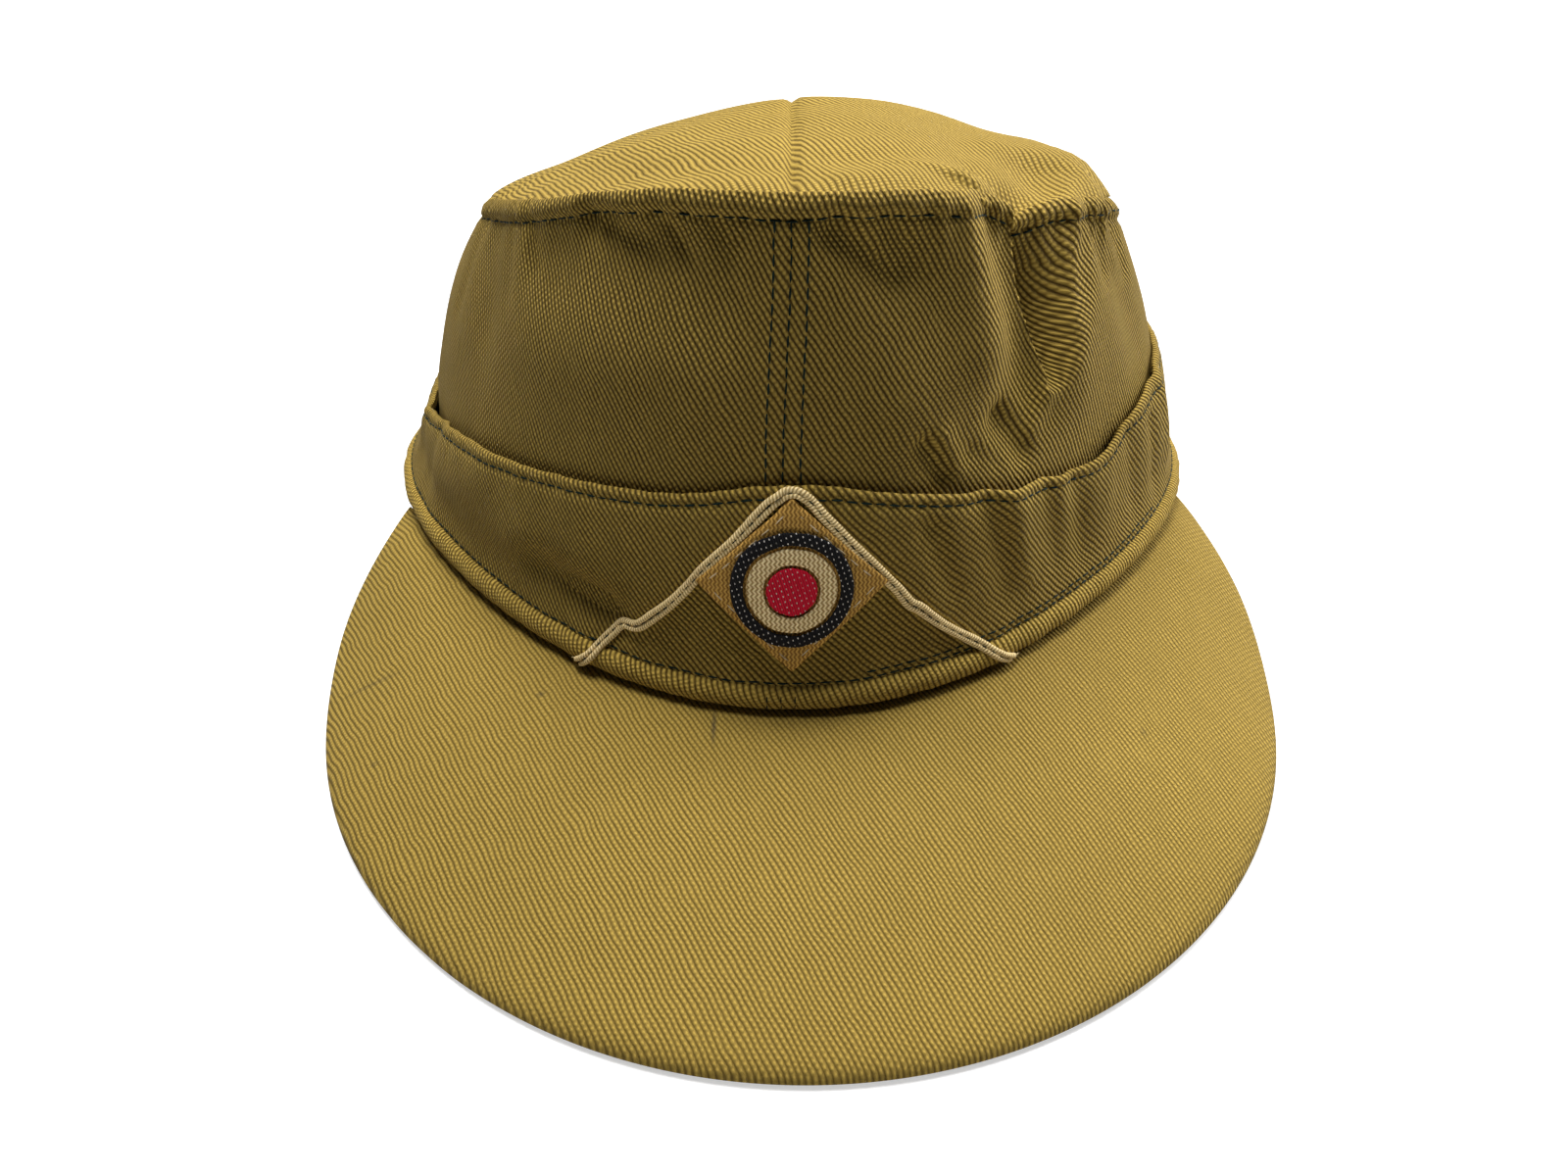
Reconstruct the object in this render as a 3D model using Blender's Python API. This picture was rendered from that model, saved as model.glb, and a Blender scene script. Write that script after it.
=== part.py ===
"""Tropical field cap of cotton twill, resting on the edge of its peak and on the back of its hem.

Metres, +Z up. The front of the cap faces -Y and its right side, seen from the front, is +X.
Angles go round the head opening: 0 is the centre front, 90 the +X side, 180 the centre back.
Heights on the wall are shares: 0 at the hem, 1 at the crown seam.
"""

import math

import bmesh
import bpy
from mathutils import Matrix, Vector

# Head opening and hem
HEM_HALF_WIDTH = 0.0905
HEM_HALF_LENGTH = 0.1030
HEM_LIFT = 0.0215
HEM_PINCH = 0.058
ROLL_THICKNESS = 0.0044
ROLL_HEIGHT = 0.0054
ROLL_FLAT = 0.0006

# Crown
CROWN_HEIGHT = 0.1105
CROWN_CLOTH = 0.0016
CROWN_PINCH = 0.030
WELT_HEIGHT = 0.0040
WELT_RELIEF = 0.0005
TOP_CLOTH = 0.0013
TOP_DROP = 0.0020
SEAM_GROOVE = 0.0012
SEAM_GROOVE_WIDTH = 0.0030

# Turn-up flap round the crown
FLAP_HEIGHT = 0.0434
FLAP_CLOTH = 0.0020

# Peak
PEAK_HALF_WIDTH = 0.0968
PEAK_REACH = 0.0615
PEAK_SIDE = 0.0330
PEAK_THICKNESS = 0.0030
PEAK_CAMBER = 0.0016
PEAK_CORNER_ANGLE = 75.0
PEAK_TURN = 1.6
PEAK_RISE_LENGTH = 0.0550

# Badge and braid on the front of the flap
BADGE_SIDE = 0.0217
BADGE_CLOTH = 0.0008
BADGE_HEIGHT = 0.0234
RING_OUTER_RADIUS = 0.0104
RING_INNER_RADIUS = 0.0080
DOT_RADIUS = 0.0043
THREAD_RELIEF = 0.0005
BRAID_WIDTH = 0.0020
BRAID_THICKNESS = 0.0012
BRAID_DRAPE = 0.0022

# Clearances between pieces that lie against each other
SEAM_GAP = 0.0003
LAYER_GAP = 0.0005

# Numbers of stations along the lofted pieces
WALL_STATIONS = 40
ROLL_STATIONS = 72
ROLL_SIDES = 10
PEAK_STATIONS = 32
RING_STATIONS = 32
BRAID_STATIONS = 46
BRAID_SIDES = 8
BADGE_CELLS = 8
DOT_SIDES = 24
SHARP_ANGLE = 40.0

CROWN_HALF_WIDTH = HEM_HALF_WIDTH - ROLL_THICKNESS - LAYER_GAP
CROWN_HALF_LENGTH = HEM_HALF_LENGTH - ROLL_THICKNESS - LAYER_GAP
MEAN_RADIUS = (CROWN_HALF_WIDTH + CROWN_HALF_LENGTH) / 2
MEAN_WALL = 0.72 * CROWN_HEIGHT

# Size of the oval at the crown seam, a share of the crown's oval at the hem
SEAM_OVAL = 0.8

# Where the rows of points lie: up the crown wall, out over the peak, and across half the top
WALL_ROW_SHARES = [0.01, 0.08, 0.16, 0.25, 0.36, 0.48, 0.58, 0.68, 0.77, 0.86, 0.93]
PEAK_ROW_SHARES = [0.0, 0.10, 0.22, 0.38, 0.54, 0.70, 0.86, 0.97]
TOP_ROW_SHARES = [0.0, 0.06, 0.24, 0.48, 0.72, 0.90, 1.0]
FLAP_ROWS = 4

# Share of the peak's edge that is the elliptical front
PEAK_ROUND_SHARE = 0.80

# Crown ovals: width and length are shares of the crown's half width and half length at the hem,
# back is how far the oval's middle lies behind the hem's, a share of the half length
CROWN_SECTIONS = [
    dict(height=0.00, width=0.985, length=1.000, back=0.000),
    dict(height=0.25, width=0.965, length=0.980, back=-0.006),
    dict(height=0.50, width=0.922, length=0.935, back=-0.020),
    dict(height=0.75, width=0.850, length=0.880, back=-0.042),
    dict(height=0.90, width=0.790, length=0.832, back=-0.064),
    dict(height=1.00, width=0.742, length=0.800, back=-0.083),
]

# Height of the crown seam over the table, a share of the crown's height
SEAM_HEIGHTS = [
    dict(angle=0, height=1.000),
    dict(angle=15, height=0.994),
    dict(angle=30, height=0.962),
    dict(angle=45, height=0.912),
    dict(angle=62, height=0.855),
    dict(angle=90, height=0.757),
    dict(angle=120, height=0.692),
    dict(angle=150, height=0.652),
    dict(angle=180, height=0.640),
]

# Height of the hem over the table, a share of the lift that the peak gives the front
HEM_HEIGHTS = [
    dict(angle=0, height=1.00),
    dict(angle=60, height=1.00),
    dict(angle=80, height=0.93),
    dict(angle=100, height=0.70),
    dict(angle=125, height=0.28),
    dict(angle=150, height=0.00),
    dict(angle=180, height=0.00),
]

# Upper edge of the flap over the hem, a share of its height at the front, and how far that
# edge stands off the crown, a share of the flap's thickness
FLAP_EDGE = [
    dict(angle=-180, height=0.76, stand=0.30),
    dict(angle=-130, height=0.72, stand=0.50),
    dict(angle=-95, height=0.60, stand=0.80),
    dict(angle=-75, height=0.58, stand=0.60),
    dict(angle=-55, height=0.70, stand=0.20),
    dict(angle=-42, height=0.76, stand=0.10),
    dict(angle=-27, height=0.84, stand=0.05),
    dict(angle=-13, height=0.91, stand=0.00),
    dict(angle=0, height=1.00, stand=0.00),
    dict(angle=11, height=0.93, stand=0.00),
    dict(angle=24, height=0.83, stand=0.05),
    dict(angle=34, height=0.76, stand=0.10),
    dict(angle=48, height=0.68, stand=0.20),
    dict(angle=60, height=0.74, stand=0.50),
    dict(angle=80, height=0.80, stand=0.90),
    dict(angle=120, height=0.80, stand=0.80),
    dict(angle=180, height=0.76, stand=0.30),
]

# Creases and swells of the crown wall, each along a line from one place to another
CROWN_FOLDS = [
    dict(angle=33, height=1.02, to_angle=36, to_height=0.62, push=-0.0062, width=0.0062),
    dict(angle=27, height=0.92, to_angle=28, to_height=0.70, push=0.0022, width=0.0060),
    dict(angle=45, height=0.90, to_angle=44, to_height=0.62, push=0.0018, width=0.0070),
    dict(angle=33, height=0.60, to_angle=20, to_height=0.51, push=-0.0026, width=0.0040),
    dict(angle=27, height=0.66, to_angle=15, to_height=0.58, push=0.0014, width=0.0040),
    dict(angle=12, height=0.88, to_angle=20, to_height=0.80, push=-0.0018, width=0.0060),
    dict(angle=-10, height=0.86, to_angle=-38, to_height=0.86, push=-0.0024, width=0.0085),
    dict(angle=-12, height=0.67, to_angle=-40, to_height=0.73, push=0.0015, width=0.0080),
    dict(angle=-58, height=0.92, to_angle=-54, to_height=0.66, push=-0.0022, width=0.0055),
    dict(angle=62, height=0.84, to_angle=66, to_height=0.62, push=-0.0018, width=0.0065),
    dict(angle=-118, height=0.90, to_angle=-104, to_height=0.62, push=-0.0040, width=0.0090),
    dict(angle=112, height=0.88, to_angle=100, to_height=0.60, push=-0.0036, width=0.0090),
    dict(angle=150, height=0.70, to_angle=126, to_height=0.56, push=-0.0030, width=0.0080),
    dict(angle=-158, height=0.76, to_angle=-134, to_height=0.62, push=-0.0030, width=0.0085),
]

# Creases and swells of the flap, which the wall behind it follows
FLAP_FOLDS = [
    dict(angle=-57, height=0.10, to_angle=-44, to_height=0.13, push=-0.0016, width=0.0065),
    dict(angle=-62, height=0.22, to_angle=-50, to_height=0.30, push=0.0012, width=0.0060),
    dict(angle=-84, height=0.26, to_angle=-70, to_height=0.20, push=-0.0012, width=0.0050),
    dict(angle=52, height=0.34, to_angle=58, to_height=0.18, push=-0.0012, width=0.0050),
    dict(angle=66, height=0.36, to_angle=72, to_height=0.20, push=0.0014, width=0.0050),
    dict(angle=24, height=0.26, to_angle=46, to_height=0.20, push=-0.0008, width=0.0060),
    dict(angle=118, height=0.30, to_angle=128, to_height=0.12, push=-0.0022, width=0.0080),
    dict(angle=-122, height=0.30, to_angle=-132, to_height=0.12, push=-0.0020, width=0.0080),
]

# Ridge of the top, front to back: height is a share of the crown's height
TOP_RIDGE = [
    dict(along=0.00, height=0.985),
    dict(along=0.14, height=0.996),
    dict(along=0.30, height=0.984),
    dict(along=0.40, height=0.960),
    dict(along=0.50, height=0.926),
    dict(along=0.62, height=0.870),
    dict(along=0.78, height=0.782),
    dict(along=0.90, height=0.702),
    dict(along=1.00, height=0.640),
]

# Slope of each half of the top from ridge to rim: a straight share and a domed rest
TOP_HALVES = {
    "left": dict(side=-1, straight=0.55, dome=3.2),
    "right": dict(side=1, straight=0.05, dome=3.0),
}

# Creases of the top: along runs front to back, across from the ridge to the rim
TOP_FOLDS = [
    dict(along=0.14, across=0.96, to_along=0.46, to_across=0.62, push=-0.0040, width=0.0075),
    dict(along=0.30, across=0.90, to_along=0.44, to_across=0.86, push=0.0016, width=0.0070),
    dict(along=0.22, across=-0.50, to_along=0.30, to_across=-0.86, push=-0.0014, width=0.0090),
    dict(along=0.70, across=-0.30, to_along=0.80, to_across=-0.80, push=-0.0030, width=0.0100),
    dict(along=0.74, across=0.25, to_along=0.84, to_across=0.75, push=-0.0030, width=0.0100),
]

# Braid, from its left end over the point above the badge to its right end:
# x is a share of the badge's side, height is over the hem and a share of the flap's height
BRAID_ROUTE = [
    dict(x=-1.830, height=0.030),
    dict(x=-1.480, height=0.150),
    dict(x=-1.240, height=0.225),
    dict(x=-0.980, height=0.388),
    dict(x=-0.655, height=0.636),
    dict(x=-0.400, height=0.785),
    dict(x=-0.155, height=0.935),
    dict(x=-0.052, height=0.966),
    dict(x=0.008, height=0.975),
    dict(x=0.080, height=0.962),
    dict(x=0.345, height=0.816),
    dict(x=0.595, height=0.667),
    dict(x=0.822, height=0.524),
    dict(x=0.980, height=0.418),
    dict(x=1.230, height=0.288),
    dict(x=1.610, height=0.100),
    dict(x=1.900, height=0.020),
]

TWILL = dict(colour=(0.262, 0.176, 0.036, 1), roughness=0.92)
BRAID_SILK = dict(colour=(0.60, 0.47, 0.25, 1), roughness=0.55)
BADGE_TAN = dict(colour=(0.42, 0.25, 0.075, 1), roughness=0.80)
BLACK_THREAD = dict(colour=(0.010, 0.010, 0.012, 1), roughness=0.70)
CREAM_THREAD = dict(colour=(0.62, 0.49, 0.27, 1), roughness=0.60)
RED_THREAD = dict(colour=(0.36, 0.006, 0.016, 1), roughness=0.65)


def read(rows, key, column, at, level_ends=True):
    """The value of a column at a place between rows, without overshoot."""
    places = [row[key] for row in rows]
    values = [row[column] for row in rows]
    at = min(max(at, places[0]), places[-1])
    last = len(rows) - 2
    i = min(last, max(0, sum(1 for p in places[1:] if p <= at)))
    slopes = [(values[k + 1] - values[k]) / (places[k + 1] - places[k]) for k in range(last + 1)]

    def tangent(k):
        if k in (0, last + 1):
            return 0.0 if level_ends else slopes[0 if k == 0 else last]
        before, after = slopes[k - 1], slopes[k]
        return 0.0 if before * after <= 0 else 2 * before * after / (before + after)

    span = places[i + 1] - places[i]
    s = (at - places[i]) / span
    return (
        values[i] * (1 + 2 * s) * (1 - s) ** 2
        + tangent(i) * span * s * (1 - s) ** 2
        + values[i + 1] * s * s * (3 - 2 * s)
        + tangent(i + 1) * span * s * s * (s - 1)
    )


def line_push(folds, place, spread):
    """How far all folds push the cloth at a place. spread turns their two shares into metres."""
    total = 0.0
    for fold in folds:
        names = list(fold)[:4]
        start = Vector((fold[names[0]] * spread[0], fold[names[1]] * spread[1]))
        end = Vector((fold[names[2]] * spread[0], fold[names[3]] * spread[1]))
        here = Vector((place[0] * spread[0], place[1] * spread[1]))
        run = end - start
        share = min(1.0, max(0.0, (here - start).dot(run) / run.length_squared))
        away = (here - start - run * share).length
        total += fold["push"] * math.exp(-((away / fold["width"]) ** 2))
    return total


def wall_push(folds, angle, height):
    return line_push(folds, (angle, height), (math.radians(1) * MEAN_RADIUS, MEAN_WALL))


def hem_height(angle):
    return HEM_LIFT * read(HEM_HEIGHTS, "angle", "height", abs(angle))


def seam_height(angle):
    return CROWN_HEIGHT * read(SEAM_HEIGHTS, "angle", "height", abs(angle))


def oval(angle, half_width, half_length, back, pinch):
    """A point of an oval whose front quarters are drawn in a little, and its outward normal."""
    a = math.radians(angle)

    def point(at):
        drawn = 1 - (pinch if math.cos(at) > 0 else 0.0) * math.sin(2 * at) ** 2
        return Vector((half_width * math.sin(at) * drawn, back - half_length * math.cos(at) * drawn))

    along = (point(a + 0.01) - point(a - 0.01)).normalized()
    return point(a), Vector((along.y, -along.x))


def wall_point(angle, height, out=0.0):
    """A point at a distance out from the crown's outer face, before its own creases."""
    section = {
        name: read(CROWN_SECTIONS, "height", name, height, level_ends=False)
        for name in ("width", "length", "back")
    }
    flat, normal = oval(
        angle,
        CROWN_HALF_WIDTH * section["width"],
        CROWN_HALF_LENGTH * section["length"],
        CROWN_HALF_LENGTH * section["back"],
        HEM_PINCH + (CROWN_PINCH - HEM_PINCH) * height,
    )
    flat = flat + normal * (out + wall_push(FLAP_FOLDS, angle, height))
    low, high = hem_height(angle), seam_height(angle)
    return Vector((flat.x, flat.y, low + height * (high - low)))


def crown_point(angle, height, out=0.0):
    """A point at a distance out from the creased outer face of the crown."""
    return wall_point(angle, height, out + wall_push(CROWN_FOLDS, angle, height))


def share_over_hem(angle, rise):
    """The wall share that lies a real height over the hem."""
    return rise / (seam_height(angle) - hem_height(angle))


def flap_edge_rise(angle):
    return FLAP_HEIGHT * read(FLAP_EDGE, "angle", "height", angle)


def flap_point(angle, rise, out=0.0):
    """A point out from the flap's inner face, at a height over the hem."""
    share = min(1.0, rise / flap_edge_rise(angle))
    stand = FLAP_CLOTH * read(FLAP_EDGE, "angle", "stand", angle)
    return wall_point(angle, share_over_hem(angle, rise), LAYER_GAP + stand * share**2 + out)


def loft(name, stations, section, closed, finish):
    """One closed body lofted through sections. section(i) is a ring of points for station i."""
    rings = [section(i) for i in range(stations + (0 if closed else 1))]
    sides = len(rings[0])
    body = bmesh.new()
    bmesh.ops.create_grid(body, x_segments=stations, y_segments=sides, size=1.0)
    for vert in body.verts:
        i = round((vert.co.x + 1) / 2 * stations)
        j = round((vert.co.y + 1) / 2 * sides)
        vert.co = rings[i % len(rings)][j % sides]
    bmesh.ops.remove_doubles(body, verts=body.verts, dist=1e-6)
    if not closed:
        bmesh.ops.holes_fill(body, edges=[edge for edge in body.edges if edge.is_boundary])
    return finished(name, body, finish)


def finished(name, body, finish):
    """Turns a bmesh into a named object with its own material."""
    bmesh.ops.recalc_face_normals(body, faces=body.faces)
    mesh = bpy.data.meshes.new(name)
    body.to_mesh(mesh)
    body.free()
    mesh.shade_smooth()
    mesh.set_sharp_from_angle(angle=math.radians(SHARP_ANGLE))
    obj = bpy.data.objects.new(name, mesh)
    bpy.context.scene.collection.objects.link(obj)
    material = bpy.data.materials.new(name)
    material.use_nodes = True
    shader = material.node_tree.nodes["Principled BSDF"]
    shader.inputs["Base Color"].default_value = finish["colour"]
    shader.inputs["Roughness"].default_value = finish["roughness"]
    shader.inputs["Metallic"].default_value = 0.0
    mesh.materials.append(material)
    return obj


def half_angles(side, stations):
    """Angles of one half of the cap, in rising order, short of the front and back seams."""
    near = math.degrees(SEAM_GAP / 2 / (SEAM_OVAL * CROWN_HALF_LENGTH))
    start, end = (near, 180 - near) if side > 0 else (near - 180, -near)
    return [start + (end - start) * i / stations for i in range(stations + 1)]


def crown_side(name, side):
    """Half of the crown wall: a cloth wall with a rounded welt standing along its upper edge."""
    angles = half_angles(side, WALL_STATIONS)

    def section(i):
        angle = angles[i]
        welt = 1 - share_over_hem(angle, WELT_HEIGHT)
        outer = [crown_point(angle, h) for h in WALL_ROW_SHARES]
        lip = [crown_point(angle, welt, WELT_RELIEF), crown_point(angle, 1.0)]
        fold = [crown_point(angle, 1.0, -CROWN_CLOTH)]
        inner = [crown_point(angle, h, -CROWN_CLOTH) for h in reversed(WALL_ROW_SHARES[::2] + [welt])]
        return outer + lip + fold + inner

    return loft(name, WALL_STATIONS, section, False, TWILL)


def flap_side(name, side):
    """Half of the turn-up flap: doubled cloth, folded at its upper edge."""
    angles = half_angles(side, WALL_STATIONS)
    first = ROLL_HEIGHT + SEAM_GAP

    def section(i):
        angle = angles[i]
        top = flap_edge_rise(angle)
        rises = [first + (top - FLAP_CLOTH / 2 - first) * k / FLAP_ROWS for k in range(FLAP_ROWS + 1)]
        outer = [flap_point(angle, rise, FLAP_CLOTH) for rise in rises]
        fold = [flap_point(angle, top, FLAP_CLOTH * share) for share in (0.70, 0.25)]
        inner = [flap_point(angle, rise) for rise in reversed(rises)]
        return outer + fold + inner

    return loft(name, WALL_STATIONS, section, False, TWILL)


def roll_bottom(angle):
    """Underside of the rolled hem, which is pressed a little flatter where the table carries it."""
    return hem_height(angle) - ROLL_FLAT * max(0.0, 1 - hem_height(angle) / HEM_LIFT)


def roll_centre(angle):
    """Middle of the rolled hem's section, and the outward normal there."""
    flat, normal = oval(angle, CROWN_HALF_WIDTH, CROWN_HALF_LENGTH, 0.0, HEM_PINCH)
    flat = flat + normal * (LAYER_GAP + ROLL_THICKNESS / 2)
    return Vector((flat.x, flat.y, roll_bottom(angle) + ROLL_HEIGHT / 2)), normal


def roll_point(angle, turn):
    """A point round the rolled hem's section. It is flat where it lies on the table."""
    middle, normal = roll_centre(angle)
    out = ROLL_THICKNESS / 2 * math.cos(turn)
    up = ROLL_HEIGHT / 2 * math.sin(turn)
    return Vector((middle.x + normal.x * out, middle.y + normal.y * out, max(0.0, middle.z + up)))


def hem_roll():
    def section(i):
        angle = 360 * i / ROLL_STATIONS - 180
        return [roll_point(angle, 2 * math.pi * (k + 0.5) / ROLL_SIDES) for k in range(ROLL_SIDES)]

    return loft("hem_roll", ROLL_STATIONS, section, True, TWILL)


def turned(x, y):
    """A point of the peak's plan, which is sewn on turned a little round the head opening."""
    a = math.radians(PEAK_TURN)
    return Vector((x * math.cos(a) - y * math.sin(a), x * math.sin(a) + y * math.cos(a)))


def peak_root_angle(share):
    return PEAK_TURN + PEAK_CORNER_ANGLE * share


def peak_edge(share):
    """The peak's outer edge on its upper face. share runs from -1 to 1, 0 is the tip.

    Half an ellipse makes the front. Behind its widest place each side curves in to a corner
    under the rolled hem, and rises to it.
    """
    corner_angle = peak_root_angle(math.copysign(1.0, share))
    corner, _ = oval(corner_angle, HEM_HALF_WIDTH, HEM_HALF_LENGTH, 0.0, HEM_PINCH)
    widest_y = -HEM_HALF_LENGTH * math.cos(math.radians(PEAK_CORNER_ANGLE)) - PEAK_SIDE
    if abs(share) < PEAK_ROUND_SHARE:
        turn = abs(share) / PEAK_ROUND_SHARE * math.pi / 2
        length = HEM_HALF_LENGTH + PEAK_REACH + widest_y
        x = math.copysign(PEAK_HALF_WIDTH * math.sin(turn), share)
        flat = turned(x, widest_y - length * math.cos(turn))
    else:
        back = (abs(share) - PEAK_ROUND_SHARE) / (1 - PEAK_ROUND_SHARE)
        widest = turned(math.copysign(PEAK_HALF_WIDTH, share), widest_y)
        flat = Vector((
            widest.x + (corner.x - widest.x) * back**2,
            widest.y + (corner.y - widest.y) * back,
        ))
    top = roll_bottom(corner_angle) - SEAM_GAP
    climb = max(0.0, 1 - (corner.y - flat.y) / PEAK_RISE_LENGTH)
    climb_power = 1.8
    return Vector((flat.x, flat.y, PEAK_THICKNESS + (top - PEAK_THICKNESS) * climb**climb_power))


def peak_root(share):
    """The peak's inner edge, under the crown wall and the rolled hem."""
    angle = peak_root_angle(share)
    flat, normal = oval(angle, CROWN_HALF_WIDTH, CROWN_HALF_LENGTH, 0.0, HEM_PINCH)
    flat = flat - normal * CROWN_CLOTH
    return Vector((flat.x, flat.y, roll_bottom(angle) - SEAM_GAP))


def peak_point(share, out, down=0.0):
    """A point of the peak: out is 0 at the hem and 1 at the edge, down goes into its thickness."""
    root, edge = peak_root(share), peak_edge(share)
    point = root.lerp(edge, out)
    covered = (ROLL_THICKNESS + LAYER_GAP + CROWN_CLOTH) / (edge - root).to_2d().length
    rise = max(0.0, out - covered) / max(0.1, 1 - covered)
    point.z = root.z + (edge.z - root.z) * rise
    point.z += PEAK_CAMBER * math.sin(math.pi * rise) * math.cos(share * math.pi / 2) ** 0.5 - down
    return point


def peak():
    def section(i):
        share = 2 * i / PEAK_STATIONS - 1
        upper = [peak_point(share, out) for out in PEAK_ROW_SHARES]
        rim = [peak_point(share, 1.0, PEAK_THICKNESS * k) for k in (0.35, 1.0)]
        lower = [peak_point(share, out, PEAK_THICKNESS) for out in reversed(PEAK_ROW_SHARES)]
        return upper + rim + lower

    return loft("peak", PEAK_STATIONS, section, False, TWILL)


def top_half(name, half):
    """Half of the crown's top: it rises from the seam to a ridge and dips into the middle seam."""
    side = half["side"]
    inset = CROWN_CLOTH + LAYER_GAP
    angles = half_angles(side, WALL_STATIONS)[1:-1]
    spread = (2 * SEAM_OVAL * CROWN_HALF_LENGTH, SEAM_OVAL * CROWN_HALF_WIDTH)

    def section(i):
        rim = crown_point(angles[i], 1.0, -inset)
        along = abs(angles[i]) / 180
        ridge = CROWN_HEIGHT * read(TOP_RIDGE, "along", "height", along, level_ends=False)
        low = rim.z - TOP_DROP
        points = []
        for cross in TOP_ROW_SHARES:
            x = SEAM_GAP / 2 + (abs(rim.x) - SEAM_GAP / 2) * cross
            rise = half["straight"] * (1 - cross) + (1 - half["straight"]) * (1 - cross ** half["dome"])
            push = line_push(TOP_FOLDS, (along, side * cross), spread)
            groove = SEAM_GROOVE * math.exp(-((x / SEAM_GROOVE_WIDTH) ** 2))
            z = low + max(0.0, ridge - low) * rise + (push - groove) * min(1.0, 4 * (1 - cross))
            points.append(Vector((side * x, rim.y, z)))
        under = [point - Vector((0, 0, TOP_CLOTH)) for point in reversed(points)]
        return points + under

    return loft(name, len(angles) - 1, section, False, TWILL)


def front_angle(x, rise):
    """The angle at which the flap's outer face has this x, at a height over the hem."""
    low, high = -89.0, 89.0
    for _ in range(30):
        middle = (low + high) / 2
        low, high = (middle, high) if flap_point(middle, rise, FLAP_CLOTH).x < x else (low, middle)
    return (low + high) / 2


def on_flap(x, rise, out):
    return flap_point(front_angle(x, rise), rise, FLAP_CLOTH + out)


def badge_point(x, y, out):
    """A point of the badge: x and y are measured on its face from its middle."""
    return on_flap(x, BADGE_HEIGHT + y, out)


def badge_patch():
    """The badge's square cloth, turned to stand on one corner."""
    half = BADGE_SIDE / 2
    body = bmesh.new()
    bmesh.ops.create_grid(body, x_segments=BADGE_CELLS, y_segments=BADGE_CELLS, size=half)
    top = bmesh.ops.extrude_face_region(body, geom=body.faces[:])
    lifted = {item for item in top["geom"] if isinstance(item, bmesh.types.BMVert)}
    for vert in body.verts:
        turned = Vector((vert.co.x - vert.co.y, vert.co.x + vert.co.y)) / math.sqrt(2)
        out = SEAM_GAP + (BADGE_CLOTH if vert in lifted else 0.0)
        vert.co = badge_point(turned.x, turned.y, out)
    return finished("cockade_patch", body, BADGE_TAN)


def badge_ring(name, inner, outer, finish):
    """A woven ring that stands a thread's height over the badge's cloth."""
    low = 2 * SEAM_GAP + BADGE_CLOTH
    corners = [(inner, low), (outer, low), (outer, low + THREAD_RELIEF), (inner, low + THREAD_RELIEF)]

    def section(i):
        turn = 2 * math.pi * i / RING_STATIONS
        return [badge_point(r * math.cos(turn), r * math.sin(turn), out) for r, out in corners]

    return loft(name, RING_STATIONS, section, True, finish)


def badge_dot():
    """The badge's round middle."""
    low = 2 * SEAM_GAP + BADGE_CLOTH
    body = bmesh.new()
    bmesh.ops.create_circle(body, cap_ends=True, segments=DOT_SIDES, radius=DOT_RADIUS)
    top = bmesh.ops.extrude_face_region(body, geom=body.faces[:])
    lifted = {item for item in top["geom"] if isinstance(item, bmesh.types.BMVert)}
    for vert in body.verts:
        out = low + (THREAD_RELIEF if vert in lifted else 0.0)
        vert.co = badge_point(vert.co.x, vert.co.y, out)
    return finished("cockade_dot", body, RED_THREAD)


def roll_cover(rise):
    """How far out of the flap's inner face the rolled hem reaches at a height over the hem."""
    share = (rise - ROLL_HEIGHT / 2) / (ROLL_HEIGHT / 2 + BRAID_DRAPE)
    return (ROLL_THICKNESS + LAYER_GAP) * math.sqrt(max(0.0, 1 - share**2))


def braid():
    """Flat braid laid in a point over the badge, its ends running down over the rolled hem."""
    route = [dict(row, run=k / (len(BRAID_ROUTE) - 1)) for k, row in enumerate(BRAID_ROUTE)]

    def centre(run):
        run = min(1.0, max(0.0, run))
        x = BADGE_SIDE * read(route, "run", "x", run, level_ends=False)
        rise = FLAP_HEIGHT * read(route, "run", "height", run, level_ends=False)
        cover = max(FLAP_CLOTH, roll_cover(rise))
        angle = front_angle(x, max(rise, ROLL_HEIGHT))
        return angle, rise, cover + SEAM_GAP

    def place(run, across, out):
        step = 0.004
        before, after = centre(run - step), centre(run + step)
        angle, rise, cover = centre(run)
        along = flap_point(after[0], after[1], 0) - flap_point(before[0], before[1], 0)
        middle = flap_point(angle, rise, cover)
        outward = (flap_point(angle, rise, cover + 0.001) - middle).normalized()
        sideways = along.cross(outward).normalized()
        return middle + sideways * across + outward * out

    def section(i):
        run = i / BRAID_STATIONS
        ring = []
        for k in range(BRAID_SIDES):
            turn = 2 * math.pi * (k + 0.5) / BRAID_SIDES
            out = BRAID_THICKNESS * (0.5 + 0.5 * math.sin(turn) / math.cos(math.pi / BRAID_SIDES))
            ring.append(place(run, BRAID_WIDTH / 2 * math.cos(turn), out))
        return ring

    return loft("soutache_braid", BRAID_STATIONS, section, False, BRAID_SILK)


def stand_on_origin():
    """Moves every piece so that the origin is under the middle of the whole cap's box."""
    meshes = [obj.data for obj in bpy.data.objects]
    places = [vert.co for mesh in meshes for vert in mesh.vertices]
    low = [min(place[axis] for place in places) for axis in range(3)]
    high = [max(place[axis] for place in places) for axis in range(3)]
    shift = Vector((-(low[0] + high[0]) / 2, -(low[1] + high[1]) / 2, -low[2]))
    for mesh in meshes:
        mesh.transform(Matrix.Translation(shift))


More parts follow.
